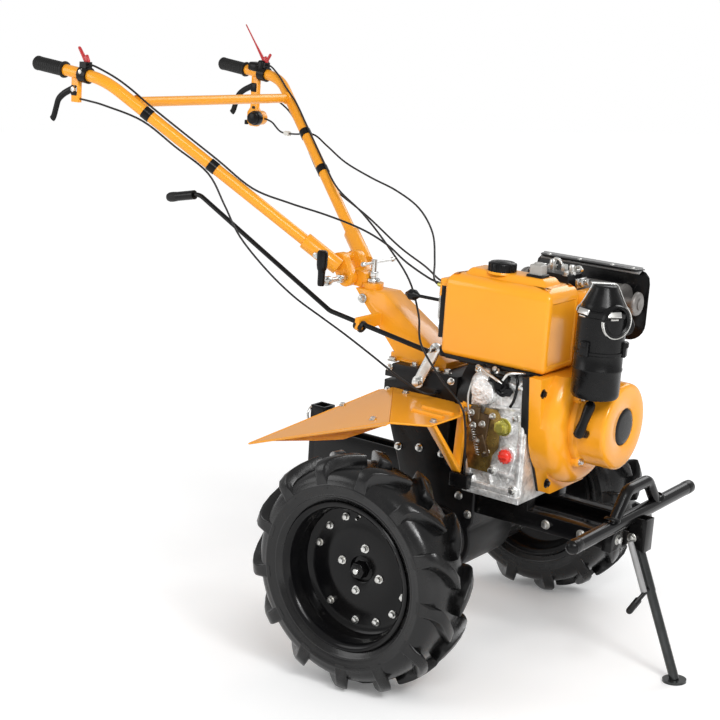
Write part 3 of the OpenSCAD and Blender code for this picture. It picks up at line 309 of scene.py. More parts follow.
def rounded(bm, edges, radius, segments, clamp=False):
    bmesh.ops.bevel(bm, geom=edges, offset=radius, segments=segments, profile=0.5, affect="EDGES",
                    material=-1, clamp_overlap=clamp)
    return bm


def soften(bm, width, segments=2, limit=35):
    sharp = [e for e in bm.edges if e.is_manifold and e.calc_face_angle(0) > radians(limit)]
    return rounded(bm, sharp, width, segments, True)


def eased(name, width, material, body="machine", segments=2):
    bm = bmesh.new()
    bm.from_mesh(node[name].data)
    bmesh.ops.remove_doubles(bm, verts=bm.verts, dist=0.00001)
    bmesh.ops.dissolve_limit(bm, angle_limit=radians(0.6), verts=bm.verts, edges=bm.edges)
    soften(bm, width, segments)
    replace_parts(add_piece(name + "_finished", bm, material, body, base=Matrix()), name)


def joined(target, part, matrix=Matrix()):
    mesh = bpy.data.meshes.new("part")
    part.to_mesh(mesh)
    part.free()
    mesh.transform(matrix)
    if matrix.determinant() < 0:
        mesh.flip_normals()
    target.from_mesh(mesh)
    bpy.data.meshes.remove(mesh)
    return target


def facing(point, direction):
    return at(*point) @ Vector(direction).to_track_quat("Z", "Y").to_matrix().to_4x4()


def spun(profile, steps=40, closed=False):
    bm = bmesh.new()
    verts = [bm.verts.new((r, 0, h)) for r, h in profile]
    for a, b in zip(verts, verts[1:] + verts[:1] if closed else verts[1:]):
        bm.edges.new((a, b))
    geom = bm.verts[:] + bm.edges[:]
    bmesh.ops.spin(bm, geom=geom, axis=(0, 0, 1), angle=tau, steps=steps, use_merge=True)
    bmesh.ops.remove_doubles(bm, verts=bm.verts, dist=0.001)
    bmesh.ops.recalc_face_normals(bm, faces=bm.faces)
    return bm


def hex_bolt(across, high, washer=0.0):
    bm = bmesh.new()
    sole = washer_thick if washer else 0.0
    half = across * hex_corner
    bmesh.ops.create_cone(bm, cap_ends=True, segments=6, radius1=half, radius2=half, depth=high,
                          matrix=at(0, 0, sole + high / 2))
    soften(bm, across * 0.06)
    if washer:
        joined(bm, spun(((0, 0), (washer, 0), (washer, 1.2), (washer - 0.5, sole), (0, sole)), 20))
    return bm


def bolted(target, places, across, high, washer):
    for place in places:
        joined(target, hex_bolt(across, high, washer), place)
    return target


def box(size):
    bm = bmesh.new()
    bmesh.ops.create_cube(bm, size=1)
    bmesh.ops.scale(bm, vec=size, verts=bm.verts)
    return bm


def block(size, rounding):
    bm = box(size)
    return rounded(bm, bm.edges[:], rounding, 3)


eased("gear_case", 0.006, black_cast)
case_bolts = ((-200, 280), (-120, 282), (-40, 282), (-36, 190), (-100, 190), (-160, 180), (48, 60),
              (20, 100), (-110, 90))
bolts, rings, ribs = bmesh.new(), bmesh.new(), bmesh.new()
for side in sides:
    out = (0, side, 0)
    bolted(bolts, [facing((x, side * case_half, z), out) for x, z in case_bolts], 13, 7, 10)
    seal = spun(((34, 0), (72, 0), (72, 7), (69, 10), (46, 12), (40, 16), (34, 16)), 48, True)
    joined(rings, seal, facing((axle_x, side * 222, axle_z), out))
    for k in range(8):
        spoke = at(axle_x, side * 160, axle_z) @ turned(k * tau / 8 + 0.2, "Y") @ at(0, 0, 68)
        joined(ribs, block((9, 120, 16), 3), spoke)
    collar = spun(((60, 0), (76, 0), (78, 3), (78, 11), (76, 14), (60, 14)), 48, True)
    joined(ribs, collar, facing((axle_x, side * case_half, axle_z), out))
add_piece("gear_case_bolts", bolts, zinc)
add_piece("axle_seal_rings", rings, zinc)
add_piece("axle_housing_ribs", ribs, black_cast)

# The shift box and clutch bell: black castings on the gear case. The gear lever's rod works the
# zinc plated arm on the side of the box through a clevis, and the bell is bolted to the engine.
eased("shift_box", 0.006, black_cast)
eased("clutch_bell", 0.003, black_cast)
eased("shift_arm", 0.0015, zinc)
box_half, box_top = 80, 374
crank_y, crank_z, bell_bolt_r = 20, 320, 99
bolts = bmesh.new()
for k in range(8):
    angle = k * tau / 8 + 0.2
    rim_spot = (38, crank_y + bell_bolt_r * cos(angle), crank_z + bell_bolt_r * sin(angle))
    joined(bolts, hex_bolt(12, 7, 9), facing(rim_spot, to_rear))
for x, z in ((-215, 305), (-215, 362), (-140, 305), (-38, 305), (-38, 362)):
    bolted(bolts, [facing((x, side * box_half, z), (0, side, 0)) for side in sides], 12, 7, 9)
bolted(bolts, [facing((x, y, box_top), to_top) for x in (-222, -62) for y in (-62, 62)], 14, 8, 11)
joined(bolts, hex_bolt(19, 10, 15), facing((-125, -90, 345), to_right))
add_piece("shift_linkage", bolts, zinc)

# The gear lever: a long bent steel rod with a moulded knob, held by a rubber grommet in the ear of
# the column. The column is a yellow welded steel box with a foot flange bolted to the shift box.
yellow_paint = finish_of(
    "yellow_paint", (0.84, 0.335, 0.016), (0.76, 0.280, 0.012), (5, 0.35), (0.16, 0.27), (520, 0.00005),
    coat=0.15, shine=0.32)
black_plastic = finish_of(
    "black_plastic", (0.004, 0.004, 0.0042), (0.010, 0.010, 0.0105), (22, 0.4), (0.2, 0.34), (480, 0.00010),
    shine=0.18)
rubber = finish_of(
    "rubber", (0.008, 0.008, 0.008), (0.020, 0.019, 0.018), (26, 0.5), (0.4, 0.6), (380, 0.0002), shine=0.25)


def painted(material, *names):
    for name in names:
        node[name].data.materials.clear()
        node[name].data.materials.append(material)


eased("column", 0.004, yellow_paint)
painted(black_paint, "gear_lever")
lever_tip, lever_neck = Vector((-905, -120, 687)), Vector((-810, -120, 706))
knob = spun(((0, 14), (6, 13.5), (10.5, 10), (12.6, 4), (13, -6), (12, -22), (10.5, -44), (10, -66),
             (11, -72), (9.5, -78), (0, -78)), 28)
add_piece("gear_lever_knob", knob, rubber, spot=facing(lever_tip, (lever_tip - lever_neck).normalized()))
grommet = spun(((7, -12), (13, -12), (15, -9), (15, -4), (11.5, -2), (11.5, 2), (15, 4), (15, 9), (13, 12),
                (7, 12)), 28, True)
add_piece("column_grommet", grommet, rubber, spot=facing((-282, -120, 458), (-0.87, 0, 0.35)))
bolts = bmesh.new()
bolted(bolts, [facing((x, y, box_top), to_top) for x in (-218, -155, -92) for y in (-62, 62)], 13, 8, 11)
joined(bolts, hex_bolt(15, 9, 12), facing((-336, -40, 505), (0, -1, 0.05)))
add_piece("column_bolts", bolts, zinc)
foot = [(-235, -50), (-75, -50), (-75, 50), (-235, 50), (-235, -50)]
add_piece("column_welds", tube([Vector((x, y, 376)) for x, y in foot], 3.2, 8), yellow_paint)

# The swivel on top of the column: a turned head with a zinc plated pin and its tee bar, and the
# cam handle of the tilt clamp on a long bolt, with its screw link.
painted(yellow_paint, "swivel_head")
painted(zinc, "swivel_pin")
pin_x, tee_z = -336, 590
clamp_x, clamp_z = -391, 548


def rod(start, end, radius, sides):
    return tube([Vector(start), Vector(end)], radius, sides)


ends = bmesh.new()
for y in (-45, 80):
    ball = spun(((0, -7), (4, -6.5), (6, -4), (6, 4), (4, 6.5), (0, 7)), 20)
    joined(ends, ball, facing((pin_x, y, tee_z), to_left))
collar = spun(((8.4, 541), (17, 541), (17.5, 543), (17.5, 549), (16, 551), (8.4, 551)), 28, True)
joined(ends, collar, at(pin_x, 0, 0))
joined(ends, hex_bolt(22, 12), at(pin_x, 0, 556))
add_piece("swivel_pin_fittings", ends, zinc)
link = rod((clamp_x, -134, clamp_z), (clamp_x, 44, clamp_z), 6, 20)
nut = spun(((6, -8), (11, -8), (12, -6), (12, 6), (11, 8), (6, 8)), 24, True)
joined(link, nut, facing((clamp_x, -114, clamp_z), to_left))
joined(link, hex_bolt(19, 10, 14), facing((clamp_x, 46, clamp_z), to_left))
spacer = spun(((6, -70), (10, -70), (10.6, -68), (10.6, -52), (10, -50), (6, -50)), 24, True)
joined(link, spacer, facing((clamp_x, 0, clamp_z), to_left))
add_piece("tilt_clamp_link", link, zinc, "handlebar")
handle = spun(((0, 78), (9, 77.4), (12.6, 74), (13.6, 66), (13.2, 42), (11.6, 32), (9.6, 28), (9, 20),
               (9, -4), (7.6, -9), (0, -10)), 28)
handle_spot = facing((clamp_x, -140, clamp_z), to_top)
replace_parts(add_piece("tilt_clamp_handle", handle, black_plastic, "handlebar", handle_spot), "tilt_clamp")

# The engine block: a bright sand cast aluminium crankcase with ribs and bosses on its sides, the fuel
# pump and its steel pipes under the tank, and studs and screws of plated steel.
# The dark second colour in the alloy's blotches is partly the casting's own tone and partly painted
# reflection, dark patches standing for dark surroundings mirrored in the metal.
cast_alloy = finish_of(
    "cast_alloy", (0.92, 0.92, 0.91), (0.34, 0.33, 0.32), (48, 0.8), (0.26, 0.5), (170, 0.0030), metal=0.75)
eased("crankcase", 0.007, cast_alloy, segments=3)
eased("cylinder_head", 0.005, black_cast)
block_right, cover_left = -130, 179


def sheet(outline, thick, rounding, segments=2):
    bm = bmesh.new()
    corners = [bm.verts.new((x, y, 0)) for x, y in outline]
    face = bmesh.ops.contextual_create(bm, geom=corners)["faces"]
    grown = bmesh.ops.extrude_face_region(bm, geom=face)["geom"]
    moved = [v for v in grown if isinstance(v, bmesh.types.BMVert)]
    bmesh.ops.translate(bm, vec=(0, 0, thick), verts=moved)
    bmesh.ops.recalc_face_normals(bm, faces=bm.faces)
    return soften(bm, rounding, segments)


def standing(y):
    return at(0, y, 0) @ turned(pi / 2, "X")


def bent(points, radius, sides=12):
    return tube(smooth_line(points), radius, sides)


def blocks(target, *rows):
    for size, rounding, place in rows:
        joined(target, block(size, rounding), place)
    return target


casting = bmesh.new()
dome = spun(((0, 27), (10, 26.5), (20, 23), (29, 16), (35, 7), (37, 0), (37, -6), (0, -6)), 36)
joined(casting, dome, facing((84, block_right, 382), to_right) @ Matrix.Scale(1.15, 4, (0, 1, 0)))
for x, y, z, wide, deep, tall, slant in (
    (189, -131, 285, 14, 12, 240, 0.0), (150, -131, 190, 90, 10, 12, 0.05),
    (146, -131, 345, 94, 9, 10, -0.12), (58, -131, 175, 18, 14, 80, 0.15),
    (120, -133, 152, 150, 14, 16, 0.0), (165, -131, 395, 60, 10, 16, 0.25),
    (120, -131, 165, 10, 12, 60, -0.2), (172, -131, 215, 8, 9, 90, 0.25),
):
    joined(casting, block((wide, deep, tall), 4), at(x, y, z) @ turned(slant, "Y"))
bosses = ((66, 160, 13), (182, 160, 13), (184, 402, 12), (124, 196, 12), (176, 330, 11))
for x, z, r in ((157, 236, 24), (144, 302, 25), *bosses):
    boss = spun(((r + 3, -3), (r, 7), (r - 2, 9), (0, 9)), 28)
    joined(casting, boss, facing((x, block_right, z), to_right))
side_cover = sheet(((74, 166), (176, 166), (186, 176), (186, 330), (174, 346), (128, 354), (80, 346),
                    (66, 330), (66, 176)), 9, 2.4, 3)
joined(casting, side_cover, standing(cover_left))
for x, z, wide, tall in (
    (126, 260, 92, 7), (126, 214, 92, 7), (126, 306, 84, 7), (126, 150, 120, 14), (58, 290, 8, 170),
    (194, 290, 8, 170),
):
    joined(casting, block((wide, 22, tall), 2.6), at(x, 172, z))
joined(casting, spun(((26, -3), (24, 8), (21, 10), (0, 10)), 32), facing((126, 178, 236), to_left))
add_piece("crankcase_castings", casting, cast_alloy)
fittings = bmesh.new()
cover_bolts = ((78, 178), (126, 172), (174, 178), (177, 236), (177, 322), (128, 344), (78, 332), (75, 250))
bolted(fittings, [facing((x, cover_left, z), to_left) for x, z in cover_bolts], 11, 6, 8)
joined(fittings, hex_bolt(22, 10, 15), facing((126, 188, 236), to_left))
bolted(fittings, [facing((x, block_right - 9, z), to_right) for x, z, r in bosses], 12, 7, 9)
for x, z in ((66, 412), (110, 416)):
    union = spun(((0, 22), (5, 22), (6, 20), (6, 12), (9, 12), (9, 4), (7, 4), (7, -6), (0, -6)), 18)
    joined(fittings, union, facing((x, -128, z), (0, -0.6, 0.8)))
for radius, route in (
    (3.2, ((66, -140, 428), (78, -150, 430), (100, -152, 420), (126, -156, 412), (139, -154, 404))),
    (3.2, ((139, -150, 412), (150, -148, 428), (165, -138, 431), (180, -120, 430), (188, -90, 430))),
    (2.6, ((55, -140, 392), (52, -148, 360), (56, -150, 330), (62, -146, 300))),
):
    joined(fittings, bent(route, radius))
add_piece("engine_fittings", fittings, zinc)
pump = bmesh.new()
barrel = spun(((0, 30), (8, 30), (9, 27), (9, 20), (14, 19), (16, 16), (16, 0), (0, 0)), 26)
joined(pump, barrel, facing((134, -130, 396), (0, -1, 0.12)))
joined(pump, block((34, 18, 22), 4), at(132, -138, 410))
outlet = spun(((0, 18), (7, 18), (8, 16), (8, 0), (0, 0)), 20)
joined(pump, outlet, facing((116, -138, 404), (-0.6, -0.6, 0.4)))
plug = spun(((0, 12), (10, 12), (11, 10), (11, 0), (0, 0)), 6)
joined(pump, plug, facing((150, -138, 386), (0.3, -1, 0)))
for radius, route in (
    (4.4, ((92, -104, 434), (96, -126, 428), (108, -144, 420), (120, -150, 404), (126, -152, 388),
           (140, -150, 378), (152, -146, 384))),
    (3.4, ((160, -110, 434), (164, -132, 424), (172, -140, 405), (168, -142, 372), (158, -140, 352))),
):
    joined(pump, bent(route, radius))
add_piece("fuel_pump", pump, black_paint)

# The governor plate: a bronze coloured plated steel plate under a brown bracket with studs and a spring,
# the throttle arm, and beside it an olive plated hex plug and the red plastic oil cap with its grip ribs.
gold_zinc = finish_of(
    "gold_zinc", (0.34, 0.22, 0.06), (0.055, 0.030, 0.015), (42, 1.0), (0.22, 0.45), (300, 0.0003),
    metal=0.75)
olive_zinc = finish_of(
    "olive_zinc", (0.50, 0.46, 0.10), (0.30, 0.26, 0.05), (60, 0.6), (0.22, 0.4), (400, 0.0001),
    metal=0.8, slot="gold_zinc")
brown_paint = finish_of(
    "brown_paint", (0.062, 0.036, 0.018), (0.16, 0.10, 0.035), (40, 0.6), (0.3, 0.5), (300, 0.0002),
    metal=0.5, slot="gold_zinc")
red_plastic = finish_of(
    "red_plastic", (0.72, 0.035, 0.02), (0.55, 0.02, 0.012), (40, 0.5), (0.18, 0.32), (500, 0.00006))


def coil(top, radius, turn_step, drift, fall, count):
    line = []
    for k in range(count):
        angle = k * turn_step
        line.append(Vector(top) + Vector((radius * cos(angle) + k * drift, radius * sin(angle), -k * fall)))
    return tube(line, 0.9, 6)


def ribbed(cap, count, size, rounding, radius, height):
    for k in range(count):
        joined(cap, block(size, rounding), turned(k * tau / count, "Z") @ at(radius, 0, height))
    return cap


eased("control_plate", 0.001, gold_zinc)
bracket = blocks(
    bmesh.new(), ((44, 6, 74), 2.5, at(86, -143, 288) @ turned(0.12, "Y")),
    ((26, 12, 30), 3, at(74, -146, 322)), ((18, 10, 52), 2.5, at(100, -145, 250) @ turned(-0.4, "Y")))
add_piece("governor_bracket", bracket, brown_paint)
studs = bmesh.new()
for stud_spot in ((67, -152, 323), (70, -146, 292), (94, -146, 300), (87, -146, 260), (108, -140, 236),
                  (116, -140, 322)):
    joined(studs, hex_bolt(11, 7, 8), facing(stud_spot, to_right))
    joined(studs, spun(((0, 15), (2.6, 14.4), (3, 13), (3, 0), (0, 0)), 14), facing(stud_spot, to_right))
joined(studs, coil((72, -150, 284), 5, 0.7, 0.22, 0.62, 90))
add_piece("governor_studs", studs, zinc)
arm = blocks(bmesh.new(), ((9, 4, 84), 1.4, at(40, -146, 296) @ turned(-0.12, "Y")),
             ((30, 4, 10), 1.4, at(52, -146, 334) @ turned(0.25, "Y")))
add_piece("throttle_arm", arm, yellow_paint)
plug = spun(((0, 20), (9, 20), (10, 18), (10, 12), (0, 12)), 24)
joined(plug, hex_bolt(32, 13, 21))
add_piece("timing_plug", plug, olive_zinc, spot=facing((144, -138, 302), to_right))
cap = spun(((0, 16), (8, 15.5), (13, 13), (15, 9), (15, 0), (0, 0)), 36)
ribbed(cap, 12, (3, 4, 10), 1, 15, 6)
joined(cap, block((22, 5, 8), 2), at(0, 0, 15))
cap_spot = facing((157, -136, 236), to_right)
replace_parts(add_piece("oil_cap_knob", cap, red_plastic, spot=cap_spot), "oil_cap")

# The cooling fan's shroud: a yellow pressed and deep drawn steel volute on a dark gasket, with an air
# duct up to the cylinder head, fixed to the block with black screws.
painted(rubber, "shroud_gasket")
eased("fan_shroud", 0.006, yellow_paint, segments=3)
nose_up = Matrix(((0, 0, 1), (1, 0, 0), (0, 1, 0))).to_4x4()
# The wide dark band behind the shroud is partly its back flange and partly painted shade in the gap between
# block and shroud.
flange_and_shade_band = sheet(((-60, 146), (-137, 311), (-149, 428), (189, 428), (177, 311), (100, 146)), 19, 2)
add_piece("shroud_back_flange_and_shade", flange_and_shade_band, rubber, spot=at(187, 0, 0) @ nose_up)
screw_spots = [facing((235, y, z), to_front) for y, z in ((-136, 398), (-80, 178), (120, 178), (176, 398))]
add_piece("shroud_screws", bolted(bmesh.new(), screw_spots, 13, 6, 11), black_paint)

# The recoil starter: a spun yellow steel cover on four lobes with plated screws, a blank black disc
# in its centre, and a black moulded pull handle in front of the rope guide.
crank_nose = at(282, crank_y, crank_z) @ nose_up
lobe_r, lobe_high = 107, 15
lobes = [(lobe_r * cos(radians(a)), lobe_r * sin(radians(a))) for a in (231, 321, 51, 141)]
cover = spun(((0, 80), (43, 80), (44, 82.5), (46, 84), (91, 84), (95, 83), (98, 80.5), (99.4, 76.5),
              (99.8, 70), (100, 20), (101.5, 16), (105, 14), (109, 12.5), (110, 10), (110, 0), (0, 0)), 72)
for x, y in lobes:
    lobe = spun(((0, lobe_high), (11, lobe_high), (13.5, 13), (14, 10), (14, 0), (0, 0)), 24)
    joined(cover, lobe, at(x, y, 0))
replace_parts(add_piece("recoil_cover_spun", cover, yellow_paint, spot=crank_nose), "recoil_cover")
blank = spun(((0, 85.4), (30, 85), (39, 84), (42.6, 81.5), (42.6, 78), (0, 78)), 48)
add_piece("recoil_centre_disc", blank, black_plastic, spot=crank_nose)
screws = bolted(bmesh.new(), [at(x, y, lobe_high) for x, y in lobes], 11, 6, 8)
add_piece("recoil_screws", screws, zinc, spot=crank_nose)
pull = spun(((0, 44), (6, 43), (11, 38), (12.5, 28), (11, 8), (10.5, -8), (12.5, -28), (12, -38), (7, -43),
             (0, -44)), 28)
joined(pull, block((20, 26, 18), 6), at(4, 14, -30))
pull_spot = at(322, -95, 350) @ turned(-0.3, "X") @ turned(0.16, "Y")
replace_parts(add_piece("recoil_pull_handle", pull, black_plastic, spot=pull_spot), "recoil_handle")

# The fuel tank: a yellow pressed steel tank with drawn corners, a hipped top with a raised deck, a
# rimmed front end, and a black screw cap on a turned neck. A grey gauge sits beside the cap.
tank_size, tank_place = (275, 138, 190), (91.5, -61, 531)
filler_x, filler_y = 68, -72
gauge_x, gauge_y = 157, -66
grey_plastic = finish_of(
    "grey_plastic", (0.34, 0.33, 0.31), (0.24, 0.23, 0.21), (30, 0.5), (0.3, 0.45), (400, 0.0001),
    slot="zinc")
tank = box(tank_size)
rounded(tank, [e for e in tank.edges if abs(e.verts[0].co.z - e.verts[1].co.z) > 1], 11, 4)
rounded(tank, [e for e in tank.edges if min(v.co.z for v in e.verts) > 80], 27, 8)
rounded(tank, [e for e in tank.edges if max(v.co.z for v in e.verts) < -80], 13, 4)
front = max((f for f in tank.faces if f.normal.x > 0.9), key=lambda f: f.calc_area())
bmesh.ops.inset_region(tank, faces=[front], thickness=3, use_even_offset=True)
bmesh.ops.inset_region(tank, faces=[front], thickness=3, depth=-2.5, use_even_offset=True)
bmesh.ops.translate(tank, vec=tank_place, verts=tank.verts)
deck = box((218, 84, 20))
bmesh.ops.scale(deck, vec=(0.86, 0.72, 1), verts=[v for v in deck.verts if v.co.z > 0])
joined(tank, soften(deck, 6, 4), at(91, -61, 631))
neck = spun(((30, 0), (34, 0), (35, 2), (33, 6), (29, 5), (27, 6), (0, 6), (0, 0)), 40)
joined(tank, neck, at(filler_x, filler_y, 635))
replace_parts(add_piece("fuel_tank_shell", tank, yellow_paint), "fuel_tank")
cap = spun(((0, 24), (18, 24), (20, 22.5), (21, 23.5), (27, 23), (30, 20.5), (31, 17), (31, 2), (29, 0),
            (0, 0)), 48)
ribbed(cap, 16, (3.4, 4.6, 19), 1.4, 31, 11)
cap_spot = at(filler_x, filler_y, 639)
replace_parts(add_piece("tank_cap_knurled", cap, black_plastic, spot=cap_spot), "tank_cap")
gauge = block((31, 28, 26), 3)
joined(gauge, spun(((0, 4), (9, 4), (10, 3), (10, 0), (0, 0)), 24), at(0, 0, 13))
add_piece("fuel_gauge", gauge, grey_plastic, spot=at(gauge_x, gauge_y, 656))
add_piece("fuel_gauge_seat", block((40, 37, 8), 2), black_plastic, spot=at(gauge_x, gauge_y, 643))
# The long black strip along the tank's near bottom edge is partly a stay and partly painted shadow under the
# tank.
stays_and_shadow = blocks(bmesh.new(), ((250, 24, 10), 2, at(91, -112, 432)), ((18, 60, 26), 3, at(-44, -90, 440)),
               ((40, 110, 12), 2, at(20, -61, 428)), ((40, 110, 12), 2, at(170, -61, 428)))
add_piece("tank_stays_and_shadow", stays_and_shadow, black_paint)

# The air filter: a black moulded canister with rolled rings and latches, its cone held by a plated strap
# and spring clips, a wire clamp on the inlet, and a ribbed rubber elbow to the cylinder head.
axis = Vector((338, -92, 0))
canister = spun(((0, 405), (44, 405), (52, 407.5), (55.5, 413), (56, 421), (56, 468), (57.6, 470),
                 (57.6, 474), (56, 476), (56, 506), (58.4, 508), (58.4, 513), (56, 515), (56, 588),
                 (58.6, 590), (58.6, 600), (56, 603), (0, 603)), 64)
bmesh.ops.scale(canister, vec=(0.95, 0.95, 1), verts=canister.verts)
for angle in (14, 150, 262):
    turn = turned(radians(angle), "Z")
    blocks(canister, ((9, 22, 34), 3, turn @ at(56, 0, 520)), ((7, 14, 12), 2, turn @ at(60, 0, 530)))
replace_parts(add_piece("air_filter_canister", canister, black_plastic, spot=at(*axis)), "air_filter")
cone = spun(((0, 655), (23, 655), (25.5, 653.5), (27, 650), (28, 646), (44, 616), (46, 611), (46.5, 606),
             (49, 604), (49, 600), (0, 600)), 56)
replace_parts(add_piece("air_filter_cone", cone, black_plastic, spot=at(*axis)), "filter_cap")
strap_way = Vector((0.808, 0.589, 0))
strap = [axis + strap_way * u + Vector((0, 0, z)) for u, z in (
    (-57, 596), (-55, 605), (-48, 613), (-32, 645), (-28, 654), (-22, 658), (18, 658), (24, 657), (30, 650),
    (48, 613), (55, 605), (57, 596))]
straps = tube(smooth_line(strap, 4), 1.5, 10)
bar_spot = axis - strap_way * 6 + Vector((0, 0, 658.5))
joined(straps, block((52, 12, 3), 1.2), at(*bar_spot) @ turned(atan2(strap_way.y, strap_way.x), "Z"))
clip_foot, wire_foot = axis + Vector((0, 0, 600)), axis + Vector((0, 0, 590))
for angle in (-111, -37, 69, 143):
    out = Vector((cos(radians(angle)), sin(radians(angle)), 0))
    along = Vector((-9 * out.y, 9 * out.x, 0))
    joined(straps, block((33, 13, 5), 1.6), facing(clip_foot + out * 55, out + Vector((0, 0, 0.5))))
    joined(straps, rod(wire_foot + out * 57 + along, wire_foot + out * 58 - along, 2, 8))
add_piece("air_filter_strap", straps, zinc)
inlet_out = Vector((cos(radians(-25)), sin(radians(-25)), 0))
inlet_axis = axis + Vector((0, 0, 584))
inlet = spun(((0, -10), (24, -10), (26.5, -6), (27.5, 3), (31, 6), (34, 5), (36, 1), (36, -18), (0, -18)), 40)
add_piece("air_filter_inlet", inlet, black_plastic, spot=facing(inlet_axis + inlet_out * 48, inlet_out))
clamp = bmesh.new()
wire_arc = [radians(k * 10 + 178) for k in range(25)]
for lift in (3, 8):
    joined(clamp, tube([Vector((37 * cos(a), 37 * sin(a), lift)) for a in wire_arc], 1.6, 8))
add_piece("air_filter_wire_clamp", clamp, zinc, spot=facing(inlet_axis + inlet_out * 44, inlet_out))
painted(rubber, "intake_elbow")
ribs = bmesh.new()
for k in range(6):
    rib = spun(((18, -2.4), (20.6, -2), (21.6, 0), (20.6, 2), (18, 2.4)), 32, True)
    joined(ribs, rib, facing((axis.x, -8 + k * 7, 548), to_left))
add_piece("intake_elbow_ribs", ribs, rubber)

# The muffler: a rolled aluminised steel drum with crimped ends on the left of the head, behind a black
# sheet steel heat guard with a turned-over top edge, held by rivets. Plated fittings stand on the head.
muffler_steel = finish_of(
    "muffler_steel", (0.26, 0.25, 0.24), (0.12, 0.10, 0.09), (16, 0.7), (0.35, 0.6), (260, 0.0003),
    metal=0.8, slot="zinc")
# This grey finish colours the stand's grey link rod and the painted highlight strip on the guard's top edge.
grey_and_highlight = finish_of(
    "grey_and_highlight", (0.34, 0.34, 0.34), (0.22, 0.22, 0.22), (24, 0.6), (0.3, 0.45), (300, 0.0001),
    metal=0.4, slot="zinc")
painted(muffler_steel, "muffler")
drum_y, drum_z, guard_y, guard_top = 156, 575, 202, 648
crimps = bmesh.new()
for x in (3, 261):
    crimp = spun(((36, 0), (40, 0), (42, 1.5), (42, 4.5), (40, 6), (36, 6)), 48, True)
    joined(crimps, crimp, facing((x, drum_y, drum_z), to_front))
tail = spun(((0, 10), (22, 10), (26, 8), (28, 4), (28, 0), (0, 0)), 40)
joined(crimps, tail, facing((297, drum_y, drum_z), to_front))
add_piece("muffler_crimps", crimps, muffler_steel)
corner_arc = [radians(-90 + 15 * k) for k in range(7)]
corner = [(263 + 44 * cos(a), 522 + 44 * sin(a)) for a in corner_arc]
panel = sheet([(5, 490), (17, 478), *corner, (307, 616), (304, 632), (294, 643), (278, guard_top),
               (32, guard_top), (17, 644), (8, 634), (5, 618)], 2.5, 0.9)
guard = joined(bmesh.new(), panel, standing(guard_y))
lip = sheet(((36, 170), (272, 170), (284, 176), (290, 186), (292, 199), (20, 199), (22, 186), (27, 176)),
            2.6, 0.9)
joined(guard, lip, at(0, 0, guard_top))
joined(guard, rod((38, 170.5, 648.6), (270, 170.5, 648.6), 2, 14))
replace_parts(add_piece("muffler_guard", guard, black_paint), "muffler_shield")
# A grey strip along the guard's turned-over top edge is a painted highlight where the black edge catches the
# light.
lip_highlight = block((264, 21, 4.6), 2.2)
joined(lip_highlight, rod((-130, -10, 0), (130, -10, 0), 3, 14))
add_piece("muffler_guard_lip_highlight", lip_highlight, grey_and_highlight, spot=at(156, 190, 647.5) @ turned(0.62, "X"))
rivets = bmesh.new()
for x in (46, 128, 214, 268):
    joined(rivets, spun(((0, 3), (3, 2.6), (5, 1.2), (5.6, 0), (0, 0)), 20), at(x, 184, 650.6))
add_piece("muffler_guard_rivets", rivets, zinc)
rocker = bolted(bmesh.new(), [at(x, y, 634) for y in (40, 94) for x in (84, 172)], 12, 8, 9)
for place, steps, profile in (
    ((112, 84, 632), 24, ((0, 26), (7, 26), (8, 24), (8, 14), (12, 14), (12, 4), (9, 4), (9, 0), (0, 0))),
    ((146, 78, 632), 6, ((0, 20), (8, 20), (9, 18), (9, 0), (0, 0))),
    ((172, 66, 634), 20, ((0, 22), (6, 22), (7, 20), (7, 8), (11, 8), (11, 0), (0, 0))),
):
    joined(rocker, spun(profile, steps), at(*place))
joined(rocker, bent(((112, 84, 656), (118, 84, 662), (130, 80, 660), (140, 78, 650), (146, 78, 650)), 3))
joined(rocker, block((8, 46, 22), 2), at(198, 66, 618))
bolted(rocker, [facing((201, y, 620), to_front) for y in (52, 80)], 14, 8, 11)
joined(rocker, bent(((176, 70, 640), (184, 64, 652), (196, 56, 656), (206, 50, 650)), 3.4))
add_piece("rocker_cover_fittings", rocker, zinc)

# The cable bracket behind the tank: a bent black steel plate with a folded yellow top that holds the
# cable ends in olive plated adjusters, a return spring on its rod, and the stop lever's black knob.
eased("cable_bracket", 0.0012, black_paint)
painted(black_plastic, "stop_lever")
spring_x, spring_y, plate_rear = -67, -108, -62
adjusters = bmesh.new()
for y in (-60, -78, -97):
    adjuster = spun(((2.6, -22), (4.4, -22), (5, -20), (5, -4), (7.5, -4), (7.5, 2), (2.6, 2)), 18, True)
    joined(adjusters, adjuster, facing((plate_rear, y, 588), to_front))
add_piece("cable_adjusters", adjusters, olive_zinc)
fold = block((20, 74, 17), 2)
joined(fold, block((5, 74, 34), 1.6), at(-8, 0, -16))
add_piece("cable_bracket_fold", fold, yellow_paint, spot=at(-55, -81, 600))
springs = coil((spring_x, spring_y, 572), 4.4, 0.8, 0, 0.55, 110)
joined(springs, rod((spring_x, spring_y, 576), (spring_x, spring_y, 505), 1.6, 8))
joined(springs, block((6, 20, 16), 1.6), at(-65, -106, 578))
bolted(springs, [facing((plate_rear, y, z), to_rear) for y, z in ((-60, 520), (-100, 490))], 13, 7, 10)
add_piece("cable_bracket_spring", springs, zinc)

